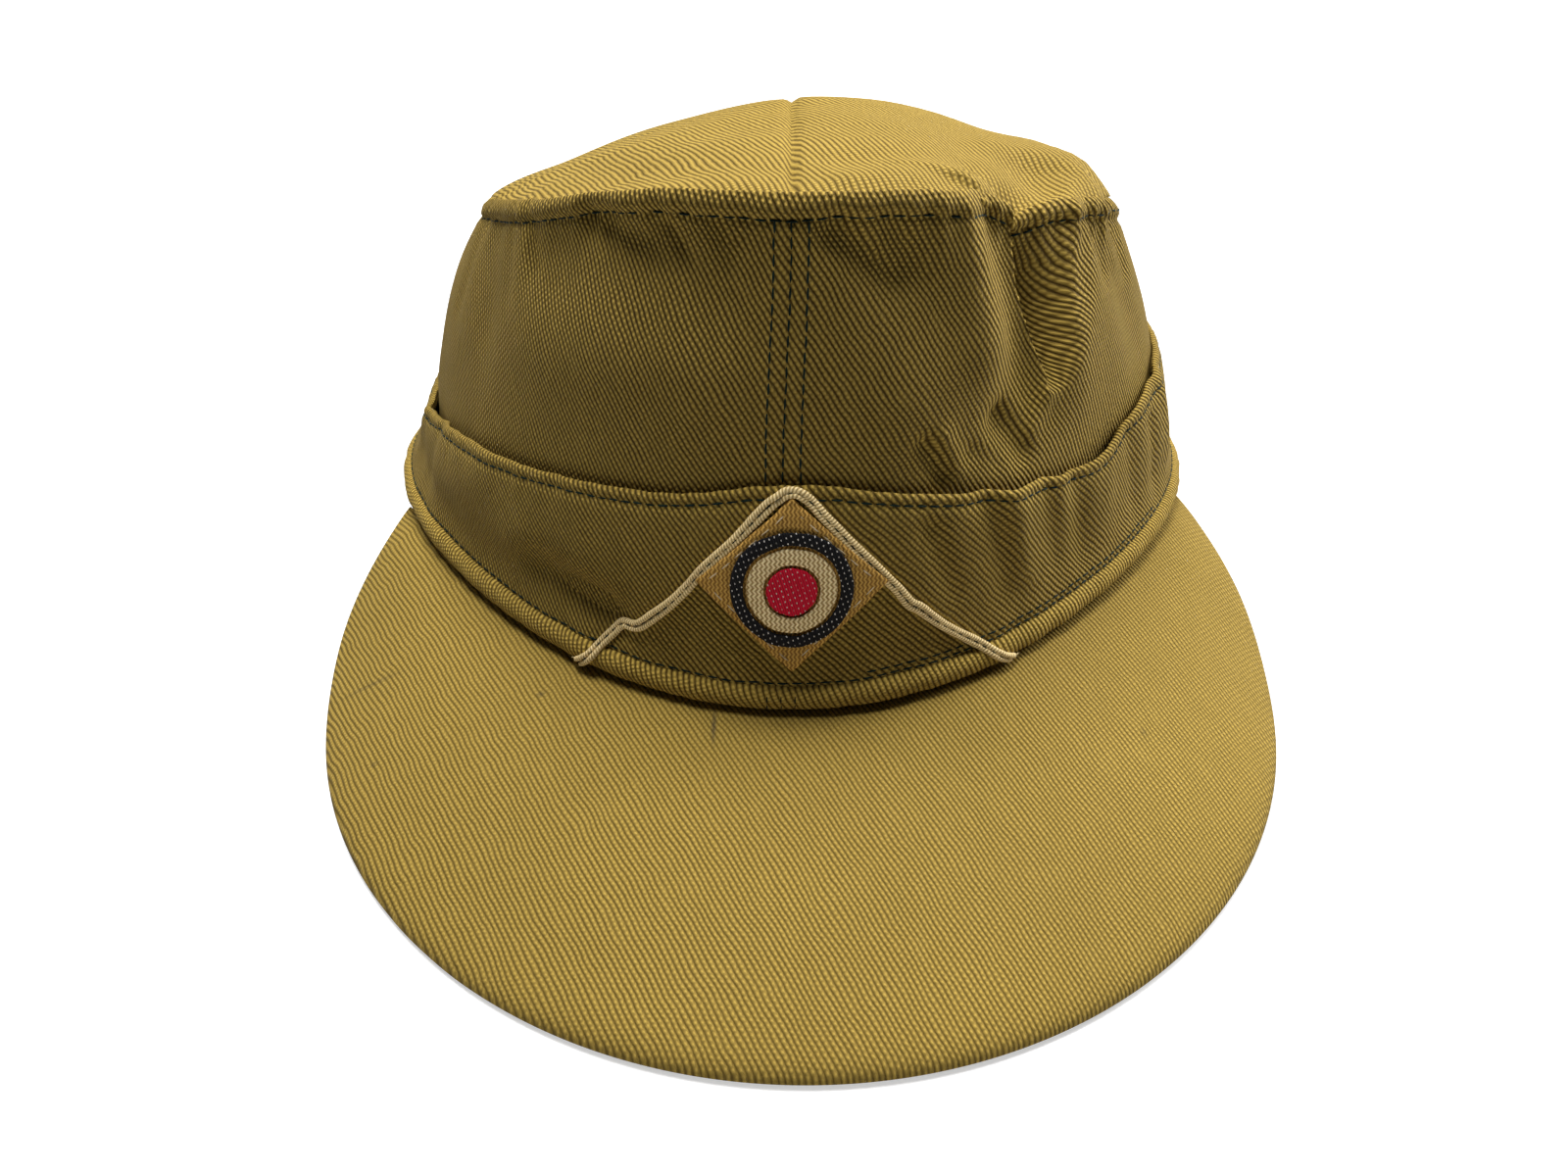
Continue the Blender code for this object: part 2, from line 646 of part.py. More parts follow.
def build():
    for obj in list(bpy.data.objects):
        bpy.data.objects.remove(obj)
    for word, half in TOP_HALVES.items():
        crown_side("crown_side_" + word, half["side"])
        flap_side("flap_" + word, half["side"])
        top_half("crown_top_" + word, half)
    hem_roll()
    peak()
    braid()
    badge_patch()
    badge_ring("cockade_ring", RING_INNER_RADIUS, RING_OUTER_RADIUS, BLACK_THREAD)
    badge_ring("cockade_field", DOT_RADIUS + SEAM_GAP, RING_INNER_RADIUS - SEAM_GAP, CREAM_THREAD)
    badge_dot()
    stand_on_origin()


build()
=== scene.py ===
# %% [markdown]
# # A tropical field cap
# The cap is cotton twill: a soft crown, a turned-up flap sewn round it, a rolled hem and a stiff
# peak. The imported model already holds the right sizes, so it is loaded first as a fixed frame.
# Each cloth piece is then copied, smoothed and creased, and gets its weave, seams and stitches.

# %% Load the frame
import math

import bmesh
import bpy
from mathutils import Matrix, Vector, noise
from mathutils.bvhtree import BVHTree


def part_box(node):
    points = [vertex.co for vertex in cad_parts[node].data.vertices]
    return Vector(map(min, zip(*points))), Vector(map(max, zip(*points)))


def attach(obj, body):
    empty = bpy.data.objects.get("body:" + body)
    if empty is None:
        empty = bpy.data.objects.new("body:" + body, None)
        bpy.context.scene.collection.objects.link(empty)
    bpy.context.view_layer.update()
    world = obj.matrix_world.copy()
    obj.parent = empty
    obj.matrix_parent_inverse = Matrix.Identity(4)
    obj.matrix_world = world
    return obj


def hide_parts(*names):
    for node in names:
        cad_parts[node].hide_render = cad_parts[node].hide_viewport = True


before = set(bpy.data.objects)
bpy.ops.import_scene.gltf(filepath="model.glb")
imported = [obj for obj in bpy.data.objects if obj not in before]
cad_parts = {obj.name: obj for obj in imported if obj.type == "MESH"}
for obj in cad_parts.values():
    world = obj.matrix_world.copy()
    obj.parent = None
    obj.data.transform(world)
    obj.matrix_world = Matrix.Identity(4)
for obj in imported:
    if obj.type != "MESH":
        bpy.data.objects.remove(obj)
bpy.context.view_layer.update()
MM = 0.001
hem_low, hem_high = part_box("hem_roll")
MIDDLE = Vector(((hem_low.x + hem_high.x) / 2, (hem_low.y + hem_high.y) / 2, 0))

# %% [markdown]
# ## Floor, light and camera
# A product photo of cloth is taken on white with large soft lights, because hard light would
# hide the weave in black shadow. Only the camera sees the room and the table as glowing white,
# so that they stay pale from every side and yet send little light up on to the cap. One lamp
# hangs over the cap, a little behind it, so that the front of the crown lies in soft shade, and
# a weaker lamp stands at each side. The camera stands close and looks down at 35 degrees.

# %% Stage
CAMERA_PLACE = MIDDLE + Vector((0, -0.2901, 0.1802))
CAMERA_DOWN = 35.0
CAMERA_LENS = 31.5
CAMERA_SHIFT = -0.005

bpy.ops.object.select_all(action="DESELECT")
bpy.ops.mesh.primitive_plane_add(size=6.0, location=(0, 0, -0.0003))
floor = bpy.context.object
floor.name = "floor"

camera_data = bpy.data.cameras.new("camera")
camera_data.sensor_width = 36.0
camera_data.lens = CAMERA_LENS
camera_data.shift_x = CAMERA_SHIFT
camera_data.clip_start = 0.01
camera = bpy.data.objects.new("camera", camera_data)
bpy.context.scene.collection.objects.link(camera)
camera.location = CAMERA_PLACE
camera.rotation_euler = (math.radians(90 - CAMERA_DOWN), 0, 0)
bpy.context.scene.camera = camera


def soft_lamp(name, place, size, watts, target=(0, 0, 0.05)):
    """A square area lamp that faces the cap."""
    lamp = bpy.data.lights.new(name, "AREA")
    lamp.size = size
    lamp.energy = watts
    holder = bpy.data.objects.new(name, lamp)
    bpy.context.scene.collection.objects.link(holder)
    holder.location = place
    holder.rotation_euler = (Vector(target) - Vector(place)).to_track_quat("-Z", "Y").to_euler()


soft_lamp("overhead", (-0.08, 0.13, 0.95), 0.50, 17.0)
soft_lamp("left_side", (-0.60, 0.62, 0.42), 0.5, 1.4)
soft_lamp("right_side", (0.72, 0.42, 0.44), 0.5, 11.5)
world = bpy.data.worlds.new("studio")
bpy.context.scene.world = world
world.use_nodes = True
WORLD_LIGHT = 0.05
background = world.node_tree.nodes["Background"]
background.inputs["Color"].default_value = (1, 1, 1, 1)
seen = world.node_tree.nodes.new("ShaderNodeLightPath").outputs["Is Camera Ray"]
strength = world.node_tree.nodes.new("ShaderNodeMath")
strength.operation = "MAXIMUM"
strength.inputs[1].default_value = WORLD_LIGHT
world.node_tree.links.new(seen, strength.inputs[0])
world.node_tree.links.new(strength.outputs[0], background.inputs["Strength"])
bpy.context.scene.view_settings.view_transform = "Standard"
print("camera at", [round(v, 3) for v in camera.location])

# %% [markdown]
# ## Small helpers for nodes
# Every finish below is built from nodes, so two short helpers keep that readable: one adds a
# node and fills its sockets, the other does arithmetic.

# %% Node helpers
def add_node(tree, kind, settings=None, **sockets):
    """A new node. A socket takes a value or another node's output; underscores stand for spaces."""
    node = tree.nodes.new(kind)
    for key, value in (settings or {}).items():
        setattr(node, key, value)
    for key, value in sockets.items():
        socket = node.inputs[int(key[1:])] if key[1:].isdigit() else node.inputs[key.replace("_", " ")]
        if isinstance(value, bpy.types.NodeSocket):
            tree.links.new(value, socket)
        else:
            socket.default_value = value
    return node


def sum_of(tree, operation, first, second=0.0, third=0.0):
    """One step of arithmetic, such as MULTIPLY, on values or outputs."""
    node = add_node(tree, "ShaderNodeMath", {"operation": operation}, i0=first, i1=second, i2=third)
    return node.outputs[0]


def mix_colours(tree, share, first, second):
    node = add_node(tree, "ShaderNodeMix", {"data_type": "RGBA"}, Factor=share, i6=first, i7=second)
    return node.outputs[2]


def speckle(tree, place, scale, detail=3.0):
    """A soft random value from 0 to 1 in patches of 1/scale."""
    return add_node(tree, "ShaderNodeTexNoise", Vector=place, Scale=scale, Detail=detail).outputs[0]


def stretch(tree, value, low, high):
    """Spreads the range low..high to 0..1."""
    return add_node(tree, "ShaderNodeMapRange", i0=value, i1=low, i2=high).outputs[0]


SPECULAR = 0.12


def new_finish(name, roughness):
    """A material with its Principled shader ready, and the shader."""
    material = bpy.data.materials.new(name)
    material.use_nodes = True
    shader = material.node_tree.nodes["Principled BSDF"]
    shader.inputs["Roughness"].default_value = roughness
    shader.inputs["Specular IOR Level"].default_value = SPECULAR
    return material, material.node_tree, shader


TABLE_GLOW = 0.55
floor_finish, tree, shader = new_finish("white_table", 0.8)
grain = speckle(tree, add_node(tree, "ShaderNodeTexCoord").outputs["Object"], 8.0)
table_white = mix_colours(tree, grain, (0.59, 0.59, 0.59, 1), (0.62, 0.62, 0.62, 1))
tree.links.new(table_white, shader.inputs["Base Color"])
seen = add_node(tree, "ShaderNodeLightPath").outputs["Is Camera Ray"]
tree.links.new(sum_of(tree, "MULTIPLY", seen, TABLE_GLOW), shader.inputs["Emission Strength"])
shader.inputs["Emission Color"].default_value = (1, 1, 1, 1)
floor.data.materials.append(floor_finish)

# %% [markdown]
# ## Twill
# Twill shows diagonal ribs, here about one each millimetre. Each rib is a row of short floats of
# warp thread, so its light side is broken by small nicks. A tiled picture would repeat; a sine
# across the ribs, nicked by a second sine along them and pushed about by noise, never does. The
# sine sets the bump, and the colour, which darkens between the ribs as painted shade. It reads
# the piece's own cloth map, in metres, so the ribs follow the cloth round the head. The ribs of
# the top are set a little wider than the others, as they look in the photo.

# %% Twill finish
RIB_PITCH = 0.90
FLOAT_LENGTH = 0.90
KHAKI_LIGHT = (0.45, 0.305, 0.062, 1)
# The darker khaki is painted shade for the grooves between the ribs.
KHAKI_GROOVE_SHADE = (0.060, 0.034, 0.004, 1)
SMUDGES = [
    dict(x=-0.0845, y=-0.0490, width=0.0085, depth=0.0009, strength=0.40),
    dict(x=-0.0155, y=-0.0740, width=0.0006, depth=0.0054, strength=0.80),
    dict(x=-0.0480, y=-0.0630, width=0.0012, depth=0.0009, strength=0.55),
    dict(x=-0.0790, y=-0.0700, width=0.0010, depth=0.0010, strength=0.40),
    dict(x=0.0630, y=-0.0680, width=0.0009, depth=0.0012, strength=0.35),
]


def smudge(tree, place, row):
    """1 in the middle of a mark on the peak and 0 outside it."""
    scale = (1 / row["width"], 1 / row["depth"], 0)
    shift = (-row["x"] / row["width"], -row["y"] / row["depth"], 0)
    moved = add_node(tree, "ShaderNodeMapping", Vector=place, Location=shift, Scale=scale)
    kind = {"gradient_type": "SPHERICAL"}
    ball = add_node(tree, "ShaderNodeTexGradient", kind, Vector=moved.outputs[0])
    return sum_of(tree, "MULTIPLY", ball.outputs[1], row["strength"])


def twill(name, rib_angle, relief, tone, pitch=RIB_PITCH, marks=()):
    """Khaki twill. Its ribs lie at rib_angle degrees to the cloth map's first axis.

    relief makes the ribs deeper and the painted shade between them darker: more on loose cloth,
    less where it is drawn tight. tone scales both colours. pitch is the distance from rib to rib
    in millimetres.
    """
    material, tree, shader = new_finish(name, 0.95)
    cloth = add_node(tree, "ShaderNodeUVMap", {"uv_map": "cloth"}).outputs[0]
    turn = (0, 0, -math.radians(rib_angle))
    turned = add_node(tree, "ShaderNodeMapping", Vector=cloth, Rotation=turn, Scale=(1000, 1000, 0))
    drift = add_node(tree, "ShaderNodeTexNoise", Vector=turned.outputs[0], Scale=0.11, Detail=4.0)
    pull = add_node(tree, "ShaderNodeVectorMath", {"operation": "SCALE"}, i0=drift.outputs[1], Scale=1.5)
    place = add_node(tree, "ShaderNodeVectorMath", {"operation": "ADD"},
                     i0=turned.outputs[0], i1=pull.outputs[0])
    parts = add_node(tree, "ShaderNodeSeparateXYZ", i0=place.outputs[0])
    along, across = parts.outputs[0], parts.outputs[1]
    rib_turn = sum_of(tree, "MULTIPLY", across, 2 * math.pi / pitch)
    rib = sum_of(tree, "MULTIPLY_ADD", sum_of(tree, "SINE", rib_turn), 0.5, 0.5)
    rib = sum_of(tree, "POWER", rib, 0.65)
    step = sum_of(tree, "MULTIPLY", sum_of(tree, "FLOOR", sum_of(tree, "DIVIDE", across, pitch)), 1.9)
    float_turn = sum_of(tree, "MULTIPLY_ADD", along, 2 * math.pi / FLOAT_LENGTH, step)
    nick = sum_of(tree, "MULTIPLY_ADD", sum_of(tree, "SINE", float_turn), 0.22, 0.78)
    fuzz = speckle(tree, turned.outputs[0], 2.6, 4.0)
    height = sum_of(tree, "MULTIPLY", rib, nick)
    height = sum_of(tree, "MULTIPLY_ADD", fuzz, 0.36, height)
    share = stretch(tree, height, 0.18 - 0.40 * (1 - relief), 1.02)
    # The ribs' colour runs from khaki on top to painted shade in the grooves between them.
    low, high = (tuple(c * tone for c in khaki[:3]) + (1,) for khaki in (KHAKI_GROOVE_SHADE, KHAKI_LIGHT))
    colour = mix_colours(tree, share, low, high)
    body = add_node(tree, "ShaderNodeTexCoord").outputs["Object"]
    wash = stretch(tree, speckle(tree, body, 26.0, 5.0), 0.30, 0.72)
    colour = mix_colours(tree, sum_of(tree, "MULTIPLY", wash, 0.22), colour, (0.15, 0.098, 0.020, 1))
    slub = add_node(tree, "ShaderNodeMapping", Vector=turned.outputs[0], Scale=(0.16, 2.4, 0))
    streak = stretch(tree, speckle(tree, slub.outputs[0], 0.9, 2.0), 0.50, 0.80)
    colour = mix_colours(tree, sum_of(tree, "MULTIPLY", streak, 0.20), colour, (0.44, 0.30, 0.070, 1))
    for row in marks:
        colour = mix_colours(tree, smudge(tree, body, row), colour, (0.035, 0.030, 0.022, 1))
    tree.links.new(colour, shader.inputs["Base Color"])
    rough = sum_of(tree, "MULTIPLY_ADD", fuzz, -0.12, 0.95)
    tree.links.new(rough, shader.inputs["Roughness"])
    bump = add_node(tree, "ShaderNodeBump", Height=height, Strength=0.9, Distance=0.0005 * relief)
    tree.links.new(bump.outputs[0], shader.inputs["Normal"])
    return material


wall_twill = twill("twill_crown", 120.0, 1.35, 1.00)
flap_twill = twill("twill_flap", 128.0, 1.30, 0.98)
# The hem's tone of 1.35 is painted light: it lightens the hem roll, which the crown shades from the overhead
# lamp.
hem_twill = twill("twill_hem", 104.0, 1.15, 1.35)
top_twill = twill("twill_top", 106.0, 0.90, 0.95, pitch=1.12)
peak_twill = twill("twill_peak", 121.0, 0.60, 0.86, marks=SMUDGES)
print("twill ribs each", RIB_PITCH, "mm")

# %% [markdown]
# ## From faceted solid to soft cloth
# The frame's cloth walls are right in size but faceted, and split at the seams by a hair's gap.
# A copy of them is welded, its triangles are joined back to quads, and a Subdivision Surface
# makes it round. Any opening left at a seam is filled. Modelling each wall again by hand could
# drift from the frame's sizes.

# %% Copy and soften
SAME_POINT = 0.01 * MM
SEAM_REACH = 0.4 * MM
SEAM_JOIN = 0.7 * MM


def weld(name, nodes):
    """One quad mesh from copies of frame nodes, with the caps at their shared seams taken out."""
    shell = bmesh.new()
    for node in nodes:
        shell.from_mesh(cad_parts[node].data)
    bmesh.ops.remove_doubles(shell, verts=shell.verts, dist=SAME_POINT)
    seam = [v for v in shell.verts if abs(v.co.x - MIDDLE.x) < SEAM_REACH]
    if len(nodes) > 1:
        caps = [f for f in shell.faces if all(abs(v.co.x - MIDDLE.x) < SEAM_REACH for v in f.verts)]
        bmesh.ops.delete(shell, geom=caps, context="FACES")
        bmesh.ops.remove_doubles(shell, verts=[v for v in seam if v.is_valid], dist=SEAM_JOIN)
    open_edges = [edge for edge in shell.edges if edge.is_boundary]
    bmesh.ops.holes_fill(shell, edges=open_edges, sides=0)
    print(name, "open edges closed:", len(open_edges))
    mesh = bpy.data.meshes.new(name)
    shell.to_mesh(mesh)
    shell.free()
    piece = bpy.data.objects.new(name, mesh)
    bpy.context.scene.collection.objects.link(piece)
    bpy.ops.object.select_all(action="DESELECT")
    piece.select_set(True)
    bpy.context.view_layer.objects.active = piece
    bpy.ops.object.mode_set(mode="EDIT")
    bpy.ops.mesh.select_all(action="SELECT")
    bpy.ops.mesh.tris_convert_to_quads(face_threshold=1.2, shape_threshold=1.2)
    bpy.ops.mesh.normals_make_consistent(inside=False)
    bpy.ops.object.mode_set(mode="OBJECT")
    return piece


def soften(piece, levels):
    """Rounds a piece with an applied Subdivision Surface and shades it smooth."""
    bpy.ops.object.select_all(action="DESELECT")
    piece.select_set(True)
    bpy.context.view_layer.objects.active = piece
    smooth = piece.modifiers.new("soften", "SUBSURF")
    smooth.levels = levels
    smooth.render_levels = levels
    bpy.ops.object.modifier_apply(modifier=smooth.name)
    bpy.ops.object.shade_smooth()
    print(piece.name, len(piece.data.polygons), "faces")


def angle_of(place):
    """Degrees round the head: 0 at the centre front, 90 at the +X side."""
    return math.degrees(math.atan2(place.x - MIDDLE.x, MIDDLE.y - place.y))


def outward(place):
    flat = Vector((place.x - MIDDLE.x, place.y - MIDDLE.y, 0))
    return flat.normalized()


MEAN_RADIUS = 0.084


def map_cloth(piece, lay):
    """Gives each corner its place on the flat cloth, in metres. lay(place, normal) returns it."""
    layer = piece.data.uv_layers.new(name="cloth")
    for face in piece.data.polygons:
        spots = [lay(piece.data.vertices[v].co, face.normal) for v in face.vertices]
        wrap = 2 * math.pi * MEAN_RADIUS
        for loop, spot in zip(face.loop_indices, spots):
            u = spot[0]
            if spots[0][0] - u > wrap / 2:
                u += wrap
            elif u - spots[0][0] > wrap / 2:
                u -= wrap
            layer.data[loop].uv = (u, spot[1])


def dress(piece, finish, slot_name, *nodes):
    """Gives a finished piece its material and its body, and hides the frame nodes that it stands for."""
    piece.data.materials.clear()
    piece.data.materials.append(finish)
    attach(piece, "root")
    if nodes:
        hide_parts(*nodes)


# %% [markdown]
# ## Creases
# Cloth that has been worn and stored keeps creases. Each is a groove or a swell along a short
# line, so one row of a table says where it starts and ends, how deep it is and how wide. Moving
# points in code keeps inner and outer faces together; a cloth simulation would wander off the
# photo's own creases.

# %% Crease helper
def push_along(rows, angle, z):
    """The sum of all creases at a place on the wall, in metres. Angles in degrees, z in metres."""
    total = 0.0
    for row in rows:
        ax, az = math.radians(row["angle"]) * MEAN_RADIUS, row["z"]
        bx, bz = math.radians(row["to_angle"]) * MEAN_RADIUS, row["to_z"]
        px, pz = math.radians(angle) * MEAN_RADIUS, z
        run_x, run_z = bx - ax, bz - az
        share = ((px - ax) * run_x + (pz - az) * run_z) / (run_x**2 + run_z**2)
        share = min(1.0, max(0.0, share))
        away = math.hypot(px - ax - run_x * share, pz - az - run_z * share)
        if away < 3 * row["width"]:
            total += row["push"] * math.exp(-((away / row["width"]) ** 2)) * (1 - 0.45 * share)
    return total


def edge_heights(piece, top=True):
    """Height of a piece's upper or lower edge, for each 3 degrees round the head."""
    best = {}
    for vert in piece.data.vertices:
        key = round(angle_of(vert.co) / 3) % 120
        z = vert.co.z
        best[key] = max(best.get(key, z), z) if top else min(best.get(key, z), z)
    return best


def edge_at(best, angle):
    """Reads an edge height between its 3 degree marks."""
    spot = angle / 3
    low = math.floor(spot)
    share = spot - low
    return best[low % 120] * (1 - share) + best[(low + 1) % 120] * share


def ring_radius(points, pick):
    """For each 3 degrees round the head, the distance from the middle that pick chooses."""
    ring = {}
    for point in points:
        ring.setdefault(round(angle_of(point.co) / 3) % 120, []).append((point.co.xy - MIDDLE.xy).length)
    return {key: pick(radii) for key, radii in ring.items()}


# %% [markdown]
# ## Crown wall
# The wall is one band with a seam at the front and at the back. Its upper edge is folded over
# the top's cloth and stitched 4 mm down, so it stands up as a welt with small puckers below the
# stitches. On the +X side a deep crease runs down from the welt. The wall's foot, hidden by the
# flap, is turned out to meet the hem roll, which the frame's solids leave a small gap to.

# %% Crown wall
WELT = 4.2 * MM
SEAM_ALLOWANCE = 2.7 * MM
CROWN_CREASES = [
    dict(angle=25.0, z=0.0670, to_angle=28.5, to_z=0.0600, push=-0.0030, width=0.0030),
    dict(angle=33.5, z=0.0680, to_angle=30.0, to_z=0.0620, push=0.0012, width=0.0022),
    dict(angle=20.5, z=0.0640, to_angle=24.0, to_z=0.0600, push=-0.0010, width=0.0018),
    dict(angle=14.0, z=0.0680, to_angle=16.3, to_z=0.0610, push=-0.0016, width=0.0014),
    dict(angle=16.5, z=0.0690, to_angle=18.8, to_z=0.0615, push=0.0010, width=0.0016),
    dict(angle=43.0, z=0.0950, to_angle=39.5, to_z=0.0790, push=0.0013, width=0.0026),
    dict(angle=47.0, z=0.0980, to_angle=51.0, to_z=0.0820, push=-0.0016, width=0.0024),
    dict(angle=52.0, z=0.0960, to_angle=56.0, to_z=0.0820, push=0.0008, width=0.0022),
    dict(angle=58.0, z=0.0940, to_angle=61.0, to_z=0.0780, push=-0.0013, width=0.0026),
    dict(angle=-13.5, z=0.1030, to_angle=-11.0, to_z=0.0985, push=-0.0016, width=0.0016),
    dict(angle=-24.0, z=0.1015, to_angle=-14.0, to_z=0.0990, push=-0.0019, width=0.0034),
    dict(angle=-7.5, z=0.1045, to_angle=-6.5, to_z=0.0990, push=-0.0009, width=0.0016),
    dict(angle=4.5, z=0.1045, to_angle=10.5, to_z=0.0965, push=-0.0020, width=0.0028),
    dict(angle=10.5, z=0.1040, to_angle=14.0, to_z=0.0960, push=-0.0010, width=0.0024),
    dict(angle=-38.0, z=0.0990, to_angle=-35.0, to_z=0.0900, push=-0.0016, width=0.0022),
    dict(angle=-42.5, z=0.0980, to_angle=-41.0, to_z=0.0820, push=-0.0010, width=0.0026),
    dict(angle=-58.0, z=0.0920, to_angle=-62.0, to_z=0.0700, push=-0.0014, width=0.0034),
    dict(angle=-100.0, z=0.074, to_angle=-92.0, to_z=0.058, push=-0.0016, width=0.0036),
    dict(angle=-128.0, z=0.070, to_angle=-118.0, to_z=0.052, push=-0.0016, width=0.0040),
    dict(angle=104.0, z=0.074, to_angle=96.0, to_z=0.058, push=-0.0016, width=0.0036),
    dict(angle=134.0, z=0.068, to_angle=122.0, to_z=0.052, push=-0.0016, width=0.0040),
    dict(angle=160.0, z=0.062, to_angle=172.0, to_z=0.046, push=-0.0010, width=0.0036),
    dict(angle=-165.0, z=0.064, to_angle=-152.0, to_z=0.050, push=-0.0012, width=0.0036),
]
DEEP_FOLD = [
    dict(z=0.060, left=33.5, right=37.0, depth=0.0),
    dict(z=0.068, left=33.5, right=38.5, depth=0.0002),
    dict(z=0.072, left=33.6, right=40.5, depth=0.0034),
    dict(z=0.076, left=32.4, right=43.0, depth=0.0058),
    dict(z=0.082, left=30.8, right=47.0, depth=0.0080),
    dict(z=0.088, left=29.6, right=49.5, depth=0.0080),
    dict(z=0.095, left=29.2, right=49.5, depth=0.0068),
    dict(z=0.101, left=29.1, right=47.0, depth=0.0054),
    dict(z=0.106, left=29.1, right=44.0, depth=0.0038),
    dict(z=0.120, left=29.1, right=43.0, depth=0.0034),
]
RIM_SAG = [(22, 0), (26, -0.8), (28.8, -1.7), (31.2, -4.8), (32.6, -4.5), (35, -2.9), (38, -1.1),
           (42, 0.4), (48, 1.2), (56, 1.9), (66, 2.2), (80, 1.9), (95, 0.8), (110, 0)]

FOOT_FLARE = [(-180, 1.8), (-160, 2.3), (-140, 3.5), (-110, 4.1), (-70, 5.0), (-48, 4.4), (-30, 2.6),
              (0, 1.4), (30, 3.0), (60, 2.9), (90, 3.5), (130, 4.1), (150, 2.7), (180, 1.8)]
FLARE_HEIGHT = 8 * MM


def between(rows, value):
    """Reads a table of (place, amount) pairs between its places."""
    if value <= rows[0][0]:
        return rows[0][1]
    for (a, left), (b, right) in zip(rows, rows[1:]):
        if value <= b:
            return left + (right - left) * (value - a) / (b - a)
    return rows[-1][1]


def deep_fold(angle, z):
    """The fold under the welt: a steep lip at its left and a slow rise at its right."""
    left, right, depth = (between([(row["z"], row[key]) for row in DEEP_FOLD], z)
                          for key in ("left", "right", "depth"))
    share = (angle - left) / (right - left)
    if share <= 0 or share >= 1:
        return 0.0
    return -depth * share**0.45 * (1 - share) ** 2.3 / 0.29


def rim_sag(angle):
    """How far the welt hangs down beside the deep fold."""
    return between(RIM_SAG, angle) * MM


def side_trim(angle, z):
    """The left side of the crown stands a little steeper than the right side."""
    high = min(1.0, max(0.0, (z - 0.070) / 0.025))
    return (-1.6 * MM - 1.0 * MM * high) * math.exp(-(((angle + 72) / 26) ** 2)) \
        + 1.3 * MM * high * math.exp(-(((angle - 66) / 14) ** 2))


def foot_flare(angle, above):
    """Hidden behind the flap, the wall's foot turns out to meet the hem roll."""
    return between(FOOT_FLARE, angle) * MM * (1 - smooth_share(above / FLARE_HEIGHT))


def smooth_share(value):
    value = min(1.0, max(0.0, value))
    return value * value * (3 - 2 * value)


def refine(piece, wanted):
    """Splits each wanted face in four, where a crease needs finer points than the rest."""
    bpy.ops.object.select_all(action="DESELECT")
    piece.select_set(True)
    bpy.context.view_layer.objects.active = piece
    bpy.ops.object.mode_set(mode="EDIT")
    bpy.ops.mesh.select_all(action="DESELECT")
    bpy.ops.mesh.select_mode(type="FACE")
    bpy.ops.object.mode_set(mode="OBJECT")
    for face in piece.data.polygons:
        face.select = wanted(face.center)
    bpy.ops.object.mode_set(mode="EDIT")
    bpy.ops.mesh.subdivide(number_cuts=1, smoothness=0.0)
    bpy.ops.object.mode_set(mode="OBJECT")
    print(piece.name, len(piece.data.polygons), "faces after refining")


def round_the_head(place, _normal):
    """Cloth gathers in the deep fold, so its ribs lie flatter on the slow slope and steep at the lip."""
    angle = angle_of(place)
    slip = 1.05 * deep_fold(angle, place.z) + 0.5 * push_along(CROWN_CREASES, angle, place.z)
    return math.radians(angle) * MEAN_RADIUS - slip, place.z


def round_the_flap(place, _normal):
    angle = angle_of(place)
    return math.radians(angle) * MEAN_RADIUS - 0.6 * push_along(FLAP_CREASES, angle, place.z), place.z


crown = weld("crown_wall", ["crown_side_left", "crown_side_right"])
soften(crown, 2)
refine(crown, lambda place: -32 < angle_of(place) < 70 and place.z > 0.056)
refine(crown, lambda place: 24 < angle_of(place) < 47 and place.z > 0.057)
crown_top = edge_heights(crown)
crown_foot = edge_heights(crown, top=False)


def ripple(angle, z, size):
    """Slow swells of hand-worn cloth, without a grain."""
    spot = Vector((math.sin(math.radians(angle)) * 1.6, math.cos(math.radians(angle)) * 1.6, z / 0.05))
    return noise.noise(spot * 1.7) * size + noise.noise(spot * 4.3) * size * 0.35


def seam_relief(across, allowance):
    """A felled seam: both allowances stand up beside the join, which is a fine groove."""
    raised = 1 / (1 + math.exp((abs(across) - allowance - 0.8 * MM) / (0.25 * MM)))
    return 0.45 * MM * raised - 0.55 * MM * math.exp(-((across / (0.45 * MM)) ** 2))


def seam_middle(z):
    """The front seam leans a little to the left on its way down."""
    return MIDDLE.x - 1.4 * MM * smooth_share((0.108 - z) / 0.045)


def shape_crown(place):
    angle = angle_of(place)
    below = edge_at(crown_top, angle) - place.z
    push = push_along(CROWN_CREASES, angle, place.z) + ripple(angle, place.z, 0.6 * MM)
    push += deep_fold(angle, place.z) + side_trim(angle, place.z)
    push += foot_flare(angle, place.z - edge_at(crown_foot, angle))
    pucker = abs(noise.noise(Vector((angle * 0.30, 7.1, 0)))) * math.exp(-((below - WELT) / (4 * MM)) ** 2)
    push -= 1.3 * MM * pucker
    push += 0.6 * MM * math.exp(-(((below - WELT * 0.45) / (1.6 * MM)) ** 2))
    push -= 0.55 * MM * math.exp(-(((below - WELT) / (0.8 * MM)) ** 2))
    if below > WELT and abs(angle) < 20:
        push += seam_relief(place.x - seam_middle(place.z), SEAM_ALLOWANCE)
    elif below > WELT:
        push += seam_relief(place.x - MIDDLE.x, SEAM_ALLOWANCE)
    return push


for vert in crown.data.vertices:
    angle = angle_of(vert.co)
    sag = rim_sag(angle) * smooth_share((vert.co.z - 0.080) / 0.024)
    vert.co += outward(vert.co) * shape_crown(vert.co) + Vector((0, 0, sag))
map_cloth(crown, round_the_head)
dress(crown, wall_twill, "twill", "crown_side_left", "crown_side_right")

# %% [markdown]
# ## Top
# Two halves meet in a seam from front to back. The cloth puffs up beside the seam and sinks
# behind the welt. The outer edge is drawn out a little so that no light shows behind the welt.

